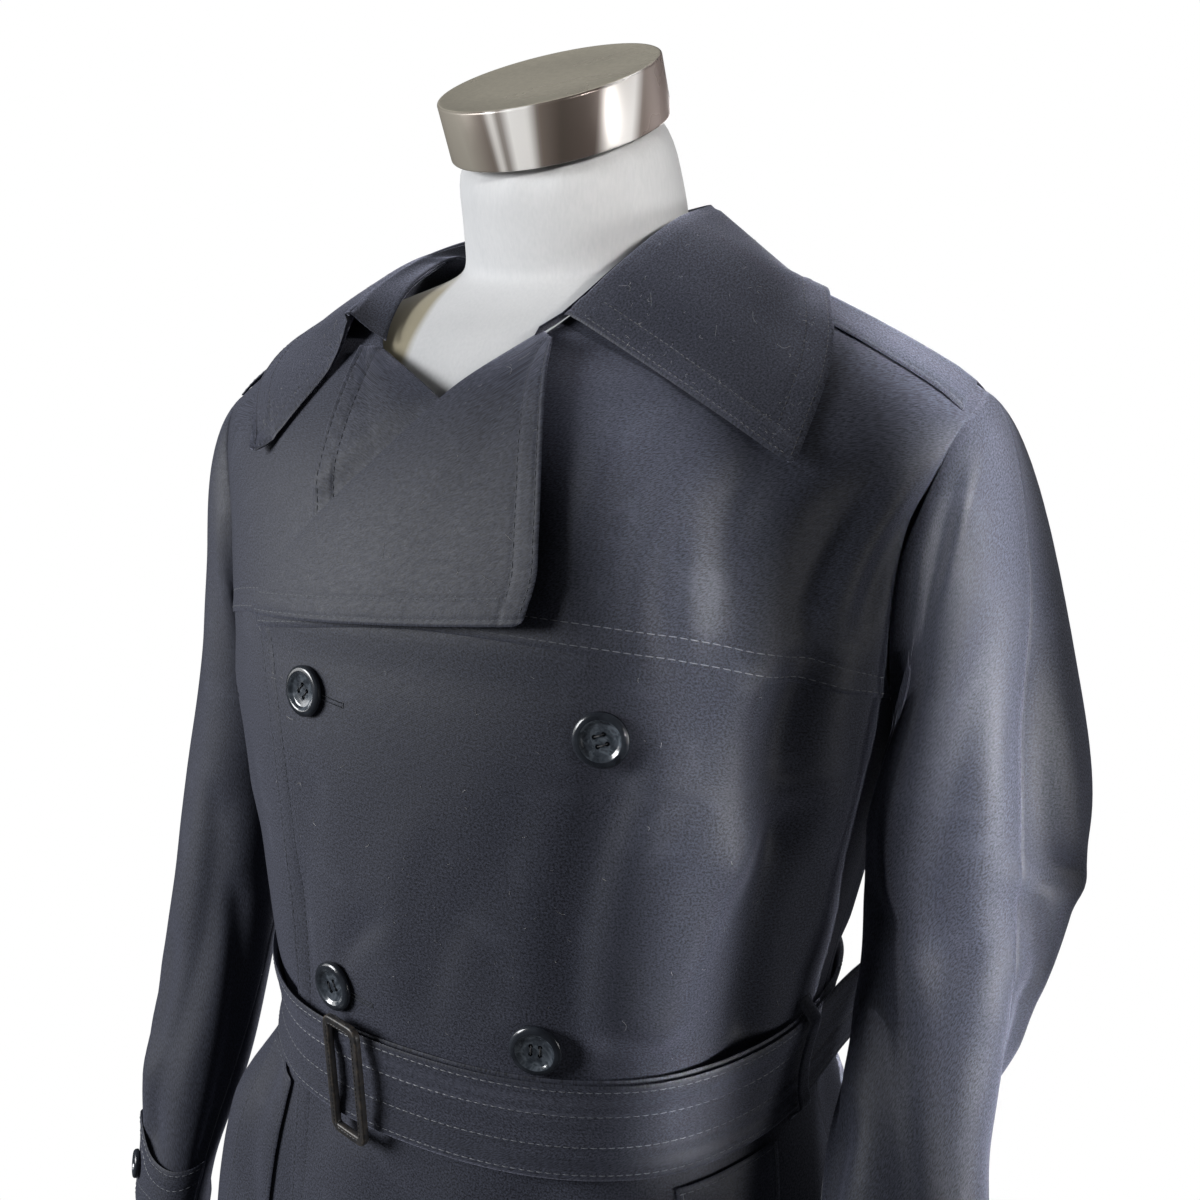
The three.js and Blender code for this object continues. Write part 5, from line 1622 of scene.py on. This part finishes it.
# Belt, loops and buckle


def waist_point(degrees, height, lift):
    degrees, height, lift = np.broadcast_arrays(
        np.asarray(degrees, float), np.asarray(height, float), np.asarray(lift, float)
    )
    turn = np.radians(np.where(degrees > 180, degrees - 360, degrees))
    level = level_where(lambda at: skin(turn, at)[..., 2] < height, height.shape)
    return skin(turn, level) + outward(turn, level) * lift[..., None]


def belt_grid():
    turn = mix(BELT[0, 0], BELT[-1, 0], spaced(1420, 4.6))[None, :]
    across = spaced(BELT_WIDTH, 1.5)[:, None]
    row = read(BELT, turn)
    height = row[..., 2] + (across - 0.5) * BELT_WIDTH
    wave = 0.35 * np.sin(turn * 0.21 + across * 2.0) * (1 - np.abs(2 * across - 1))
    swell = 0.25 * np.sin(np.pi * np.clip((across * 5) % 1, 0, 1))
    lift = row[..., 1] + BELT_CLOTH + wave * 0.6 + swell
    return waist_point(np.where(turn >= 360, turn - 360, turn) + 0 * across, height, lift)


def pressed_belt(grid, away, sewn):
    """Sinks the belt along its sewn lines."""
    normals, _ = grid_normals(grid, away)
    lift = np.zeros(grid.shape[:2])
    for side, distances in sewn:
        for distance in distances:
            off_line = (distance_from(grid, side) - distance) / BELT_SINK_WIDTH
            lift = lift - BELT_SINK * np.exp(-off_line ** 2)
    return grid + normals * lift[..., None]


def make_belt():
    grid = drawn_in(belt_grid())
    away = grid * LEVELLED
    edges = ("foot", "head")
    made, _ = cloth(
        "belt", grid, away, [(edge, BELT_ROWS) for edge in edges], wall=BELT_CLOTH - 0.3, held="stretched",
        rests=["front_left", "front_right"], press=pressed_belt,
    )
    lines = [(edge, distance) for edge in edges for distance in BELT_ROWS]
    sew("belt_stitches", rows_along(made, grid_normals(grid, away)[0], lines))


def make_loops():
    for name, side, turn, top in LOOPS:
        share = np.linspace(0, 1, 30)[:, None]
        across = np.linspace(-1, 1, 9)[None, :]
        height = mix(LOOP["foot"], LOOP["head"], share)
        ends = np.minimum(share, 1 - share) * 8
        lift = mix(REST, top, smooth(ends)) + LOOP["cloth"]
        degrees = side * (turn + across * LOOP["half"] / 3)
        grid = waist_point(degrees, height, lift + 0 * across)
        cloth(name, grid, grid * LEVELLED, wall=1.4, held="laid", rests=["belt"])


def frame_matrix(origin, normal, up_hint=UP):
    """A placing with x across, y up and z out of a surface."""
    across = unit(np.cross(up_hint, normal))
    rows = np.eye(4)
    rows[:3, 0] = across
    rows[:3, 1] = unit(np.cross(normal, across))
    rows[:3, 2] = unit(normal)
    rows[:3, 3] = np.asarray(origin) * MM
    return Matrix(rows.tolist())


def seat_on(piece, matrix):
    piece.data.transform(matrix)
    piece.data.update()


def on_face(matrix, points, facing):
    """Points in millimetres and normals of a piece's own frame, placed with the piece."""
    to = np.array(matrix)
    return points @ to[:3, :3].T + to[:3, 3] / MM, facing @ to[:3, :3].T


def apply_modifier(piece, kind, **settings):
    modifier = piece.modifiers.new(kind.lower(), kind)
    for key, value in settings.items():
        setattr(modifier, key, value)
    only(piece)
    bpy.ops.object.modifier_apply(modifier=modifier.name)


def bevel(piece, width, segments, angle):
    apply_modifier(
        piece, "BEVEL", width=width * MM, segments=segments, limit_method="ANGLE", angle_limit=angle
    )


def select_ends(piece, both):
    """In edit mode, selects the faces that look up, or up and down."""
    bm = bmesh.from_edit_mesh(piece.data)
    bpy.ops.mesh.select_all(action="DESELECT")
    for face in bm.faces:
        if face.normal.z > 0.9 or (both and face.normal.z < -0.9):
            face.select_set(True)
    bm.select_flush(True)
    bmesh.update_edit_mesh(piece.data)


def turned(name, sides, radius, height, middle, steps, edge, both_ends=False):
    """A turned piece: a cylinder whose ends are inset and raised in steps, and its edges rounded.

    Each step is its width inward and its rise. edge is the rounding's width, segments and angle.
    """
    bpy.ops.object.select_all(action="DESELECT")
    bpy.ops.mesh.primitive_cylinder_add(
        vertices=sides, radius=radius * MM, depth=height * MM, location=(0, 0, middle * MM)
    )
    piece = bpy.context.active_object
    piece.name = name
    piece.data.name = name
    bpy.ops.object.transform_apply(location=True, rotation=False, scale=False)
    bpy.ops.object.mode_set(mode="EDIT")
    select_ends(piece, both_ends)
    for width, rise in steps:
        bpy.ops.mesh.inset(thickness=width * MM, depth=rise * MM, use_individual=both_ends)
    bpy.ops.object.mode_set(mode="OBJECT")
    bevel(piece, *edge)
    return piece


def buckle_plate():
    """The flat frame of the buckle: a plate with its middle cut out, thickened and rounded."""
    bpy.ops.mesh.primitive_plane_add(size=1)
    piece = bpy.context.active_object
    piece.name = "buckle_frame"
    piece.data.name = "buckle_frame"
    piece.scale = (BUCKLE["width"] * MM, BUCKLE["height"] * MM, 1)
    bpy.ops.object.transform_apply(location=False, rotation=False, scale=True)
    bpy.ops.object.mode_set(mode="EDIT")
    bpy.ops.mesh.select_all(action="SELECT")
    bpy.ops.mesh.bevel(offset=BUCKLE["corner"] * MM, segments=6, affect="VERTICES")
    bpy.ops.mesh.select_all(action="SELECT")
    bpy.ops.mesh.inset(thickness=BUCKLE["bar"] * MM, depth=0)
    bpy.ops.mesh.delete(type="ONLY_FACE")
    bpy.ops.mesh.select_all(action="SELECT")
    bpy.ops.mesh.extrude_region_move(TRANSFORM_OT_translate={"value": (0, 0, BUCKLE["thick"] * MM)})
    bpy.ops.mesh.select_all(action="SELECT")
    bpy.ops.mesh.normals_make_consistent(inside=False)
    bpy.ops.object.mode_set(mode="OBJECT")
    bevel(piece, 1.3, 4, 0.7)
    apply_modifier(piece, "SUBSURF", levels=1, render_levels=1)
    return piece


def make_buckle():
    """The leather-covered buckle, leaning on the belt, stitched along its inner edge."""
    piece = buckle_plate()
    turn, level = front_spot(BUCKLE["x"], BUCKLE["z"])
    normal = outward(turn, level)
    seat = skin(turn, level) + normal * BUCKLE["lift"]
    lean = Matrix.Rotation(math.radians(BUCKLE["lean"]), 3, "Z")
    matrix = frame_matrix(seat, np.array(lean @ Vector(normal)))
    seat_on(piece, matrix)
    dress(piece, LEATHER, "buckle_leather", "buckle")
    soften(piece, 40)
    inset = BUCKLE["bar"] / 2 + BUCKLE_STITCH_INSET
    width, height = (BUCKLE[key] - 2 * inset for key in ("width", "height"))
    path = rounded_path(width, height, BUCKLE["corner"] - inset / 2)
    points = stack(path[:, 0], path[:, 1], BUCKLE["thick"] + 0.1)
    line = on_face(matrix, points, np.repeat(UP[None], len(path), axis=0))
    sew("buckle_stitches", [(line, 2.6, 0.66, 0.22)], DARK_THREAD)


def rounded_path(width, height, corner):
    points = []
    for sx, sy, start in ((1, 1, 0), (-1, 1, 90), (-1, -1, 180), (1, -1, 270)):
        for i in range(7):
            turn = math.radians(start + 90 * i / 6)
            x = sx * (width / 2 - corner) + corner * math.cos(turn)
            y = sy * (height / 2 - corner) + corner * math.sin(turn)
            points.append((x, y))
    points.append(points[0])
    return np.array(points)


# Pocket welts


def make_welts():
    for side, name in SIDES:
        down = spaced(170, 4.0, fine_start=4, fine_end=4)[:, None]
        across = spaced(34, 2.4, fine_start=4, fine_end=4)[None, :]
        half = mix(-WELT["half"], WELT["half"], across)
        x = mix(WELT["top"][0], WELT["foot"][0], down) + half
        z = mix(WELT["top"][1], WELT["foot"][1], down) + half * 0.17
        turn, level = front_spot(side * x, z)
        grid = layer_point(side, turn, level, WELT["rest"] + WELT["cloth"])
        sewn = [(edge, (EDGE_ROW,)) for edge in ("start", "end", "foot", "head")]
        away = np.array([side * 0.6, -1, 0])
        sewn_cloth(f"pocket_welt_{name}", grid, away, sewn, wall=1.8, held="laid", rests=[f"front_{name}"])


# Buttons


def button_model(radius):
    """A four-hole button: a turned disc with a raised rounded rim and a sunk middle."""
    steps = [(radius * share, rise) for share, rise in BUTTON_STEPS]
    piece = turned("button_model", 64, radius, BUTTON_HEIGHT, 0, steps, (0.5, 3, 0.35))
    holes = []
    for turn in (45, 135, 225, 315):
        x = radius * HOLE_REACH * math.cos(math.radians(turn)) * MM
        y = radius * HOLE_REACH * math.sin(math.radians(turn)) * MM
        bpy.ops.mesh.primitive_cylinder_add(
            vertices=20, radius=radius * HOLE_RADIUS * MM, depth=9 * MM, location=(x, y, 0)
        )
        holes.append(bpy.context.active_object)
    for hole in holes:
        apply_modifier(piece, "BOOLEAN", operation="DIFFERENCE", object=hole, solver="EXACT")
    for hole in holes:
        bpy.data.objects.remove(hole)
    piece.data.transform(Matrix.Translation((0, 0, BUTTON_HEIGHT / 2 * MM)))
    return piece


def sew_button(name, matrix, radius):
    """Two short bars of thread through the holes, each of two strands."""
    reach = radius * HOLE_REACH * math.cos(math.radians(45))
    rows = []
    for y in (-reach, reach):
        for lift in (2.0, 1.85):
            path = np.array([[-reach * 1.1, y, lift - 0.5], [0, y, lift], [reach * 1.1, y, lift - 0.5]])
            points, facing = on_face(matrix, path, np.repeat(UP[None], 3, axis=0))
            run = float(np.linalg.norm(points[-1] - points[0]))
            rows.append(((points, facing), run * 0.98, 0.98, 0.3))
    sew(f"{name}_thread", rows, DARK_THREAD)


def place_button(model, name, matrix, radius):
    """A copy of a button, its rim and outer side darker than its middle, sewn on."""
    piece = bpy.data.objects.new(f"{name}_disc", model.data.copy())
    bpy.context.scene.collection.objects.link(piece)
    piece.data.name = f"{name}_disc"
    rim = BUTTON_RIM * radius * MM
    centres = [math.hypot(face.center.x, face.center.y) for face in piece.data.polygons]
    seat_on(piece, matrix)
    dress(piece, HORN, "button", name)
    piece.data.materials.append(HORN_RIM)
    for face, centre in zip(piece.data.polygons, centres):
        face.material_index = int(centre > rim)
    soften(piece, 32)
    sew_button(name, matrix, radius)


def make_buttons():
    big = button_model(BUTTON_RADIUS)
    small = button_model(CUFF_BUTTON_RADIUS)
    for i, (name, (x, z, lift)) in enumerate(FRONT_BUTTONS.items()):
        turn, level = front_spot(x, z)
        spin = Matrix.Rotation(math.radians(20 + 33 * i), 4, "Z")
        matrix = frame_matrix(over_point(turn, level, lift), outward(turn, level)) @ spin
        place_button(big, name, matrix, BUTTON_RADIUS)
    for side, name in SIDES:
        share = np.array(CUFF_BUTTON_SHARE)
        at = cuff_point(side, share, 2.0, CUFF_STRAP_REST + CUFF_STRAP_CLOTH + 0.7)
        matrix = frame_matrix(at, ring_out(side, SLEEVES[side], np.array(CUFF_STRAP_STEP), share))
        place_button(small, f"cuff_button_{name}", matrix, CUFF_BUTTON_RADIUS)
    bpy.data.objects.remove(big)
    bpy.data.objects.remove(small)


def make_buttonholes():
    """Buttonholes: a slit between two close rows of stitches and a bar, running in from each button."""
    rows = []
    for name in ("button_top_right", "button_waist_right", "button_low_right"):
        x, z, _ = FRONT_BUTTONS[name]
        along = np.linspace(0, BUTTONHOLE_LENGTH, 24)
        half = BUTTONHOLE_HALF_WIDTH
        lines = [(x + along, z - along * BUTTONHOLE_SLOPE + off) for off in (-half, half)]
        end_z = z - BUTTONHOLE_LENGTH * BUTTONHOLE_SLOPE
        lines.append((x + BUTTONHOLE_LENGTH + 0.6, end_z + np.linspace(-BUTTONHOLE_BAR, BUTTONHOLE_BAR, 24)))
        for line_x, line_z in lines:
            turn, level = front_spot(line_x, line_z)
            line = (over_point(turn, level, BUTTONHOLE_LIFT), outward(turn, level))
            rows.append((line, 0.62, 0.9, 0.36))
    sew("buttonhole_stitches", rows)


# Dress form


def make_torso():
    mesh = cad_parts["form_torso"].data.copy()
    mesh.name = "form_torso_jersey"
    piece = bpy.data.objects.new("form_torso_jersey", mesh)
    bpy.context.scene.collection.objects.link(piece)
    only(piece)
    bpy.ops.object.mode_set(mode="EDIT")
    bpy.ops.mesh.select_all(action="SELECT")
    bpy.ops.mesh.remove_doubles(threshold=0.00002)
    bpy.ops.mesh.tris_convert_to_quads(face_threshold=math.radians(60), shape_threshold=math.radians(80))
    bpy.ops.object.mode_set(mode="OBJECT")
    apply_modifier(piece, "SUBSURF", levels=2, render_levels=2)
    dress(piece, JERSEY, "form_jersey", "form_torso")
    soften(piece, 60)


def make_cap():
    """The neck cap: a turned steel drum with softened edges, a satin top and a fine turned line."""
    steps = [(2.2, 0), (0.5, -0.15), (24, 0)]
    piece = turned(
        "form_cap_steel", 128, CAP["radius"], CAP["height"], CAP["height"] / 2, steps, (1.3, 4, 0.9)
    )
    tilt = math.radians(CAP["tilt"])
    axis = np.array([0, -math.sin(tilt), math.cos(tilt)])
    seat_on(piece, frame_matrix(CAP["seat"], axis, np.array([1.0, 0, 0])))
    dress(piece, CAP_SIDE, "form_steel", "form_cap")
    piece.data.materials.append(CAP_TOP)
    for face in piece.data.polygons:
        if face.normal.dot(Vector(axis)) > 0.95:
            face.material_index = 1
    soften(piece, 35)


def make_stand():
    base = turned(
        "form_base_plate", 128, BASE["radius"], BASE["height"], BASE["height"] / 2, BASE["steps"],
        (1.4, 3, 0.6),
    )
    dress(base, STAND_STEEL, "form_steel", "form_base")
    soften(base, 35)
    pole = turned(
        "form_pole_tube", 64, POLE["radius"], POLE["height"], POLE["middle"], [(1.2, 0)], (0.8, 2, 0.9),
        both_ends=True,
    )
    dress(pole, STAND_STEEL, "form_steel", "form_pole")
    soften(pole, 35)


# Lint


def make_lint():
    """Short pale fibres caught on the cloth, most of them on the collar and the chest."""
    random = np.random.default_rng(7)
    fibres = []
    for grid, count in ((fall_grid(), 420), (lapel_grid(1)[:, 8:], 60)):
        normals, _ = grid_normals(grid, np.array([0, -0.4, 1.0]))
        for _ in range(count):
            r = random.integers(4, grid.shape[0] - 4)
            c = random.integers(4, grid.shape[1] - 4)
            fibres.append(lint_fibre(random, grid[r, c], normals[r, c]))
    for _ in range(120):
        x = random.uniform(-110, 190)
        z = random.uniform(1120, 1320)
        turn, level = front_spot(x, z)
        fibres.append(lint_fibre(random, over_point(turn, level, 0.25), outward(turn, level)))
    points = np.concatenate(fibres)
    starts = range(0, len(points), len(fibres[0]))
    faces = [[i + start for i in face] for start in starts for face in tube_faces(6, 3)]
    dress(add_mesh("lint_fibres", points, faces), LINT, "coat_cloth")


def lint_fibre(random, at, normal):
    across = unit(np.cross(normal, random.normal(size=3)))
    along = unit(np.cross(normal, across))
    length = random.uniform(0.5, 2.4) if random.random() < 0.9 else random.uniform(3, 8)
    bend = random.uniform(-1.4, 1.4)
    path = []
    for t in np.linspace(0, 1, 6):
        sideways = math.sin(bend * t * math.pi) * length * 0.3
        lift = 0.12 + 0.15 * math.sin(t * 9)
        path.append(at + along * (t - 0.5) * length + across * sideways + normal * lift)
    path = np.array(path)
    return tube_points(path, np.repeat(normal[None], 6, axis=0), 0.055, 3).reshape(-1, 3)


# Camera, light and world


def aimed(place_, target):
    """A placing at one point, looking at another."""
    way = Vector(target) - Vector(place_)
    return Matrix.Translation(Vector(place_)) @ way.to_track_quat("-Z", "Y").to_matrix().to_4x4()


def add_holder(name, data):
    holder = bpy.data.objects.new(name, data)
    bpy.context.scene.collection.objects.link(holder)
    return holder


def make_camera():
    camera = add_holder("camera", bpy.data.cameras.new("camera"))
    roll = Matrix.Rotation(math.radians(CAMERA_ROLL), 4, "Z")
    camera.matrix_world = aimed(Vector(CAMERA_PLACE) * MM, Vector(CAMERA_TARGET) * MM) @ roll
    camera.data.lens = CAMERA_LENS
    camera.data.sensor_width = CAMERA_SENSOR
    camera.data.sensor_fit = "HORIZONTAL"
    camera.data.clip_end = CAMERA_FAR
    bpy.context.scene.camera = camera


def make_world():
    """A white backdrop for the camera and a faint even light for everything else."""
    world = bpy.data.worlds.new("studio")
    bpy.context.scene.world = world
    world.use_nodes = True
    tree = world.node_tree
    tree.nodes.clear()
    seen = add_node(tree, "ShaderNodeBackground", {"Color": WHITE, "Strength": BACKGROUND_WHITE})
    lit = add_node(tree, "ShaderNodeBackground", {"Color": FILL_TINT, "Strength": FILL_LIGHT})
    path = add_node(tree, "ShaderNodeLightPath")
    choose = add_node(tree, "ShaderNodeMixShader", {
        0: path.outputs["Is Camera Ray"], 1: lit.outputs[0], 2: seen.outputs[0],
    })
    add_node(tree, "ShaderNodeOutputWorld", {0: choose.outputs[0]})


def make_lights():
    for name, place_, target, size, power, colour, spread in LIGHTS:
        light = bpy.data.lights.new(name, "AREA")
        light.shape = "RECTANGLE"
        light.size, light.size_y = size
        light.energy = power
        light.color = colour
        light.spread = math.radians(spread)
        add_holder(name, light).matrix_world = aimed(place_, target)
    bpy.context.scene.view_settings.view_transform = "Standard"
    bpy.context.scene.view_settings.look = "None"


bpy.ops.object.select_all(action="DESELECT")
make_camera()
make_world()
make_lights()
make_body()
make_lapels()
make_collar()
make_straps()
make_sleeves()
make_cuff_straps()
make_belt()
make_loops()
make_buckle()
make_welts()
make_buttons()
make_buttonholes()
make_torso()
make_cap()
make_stand()
make_lint()
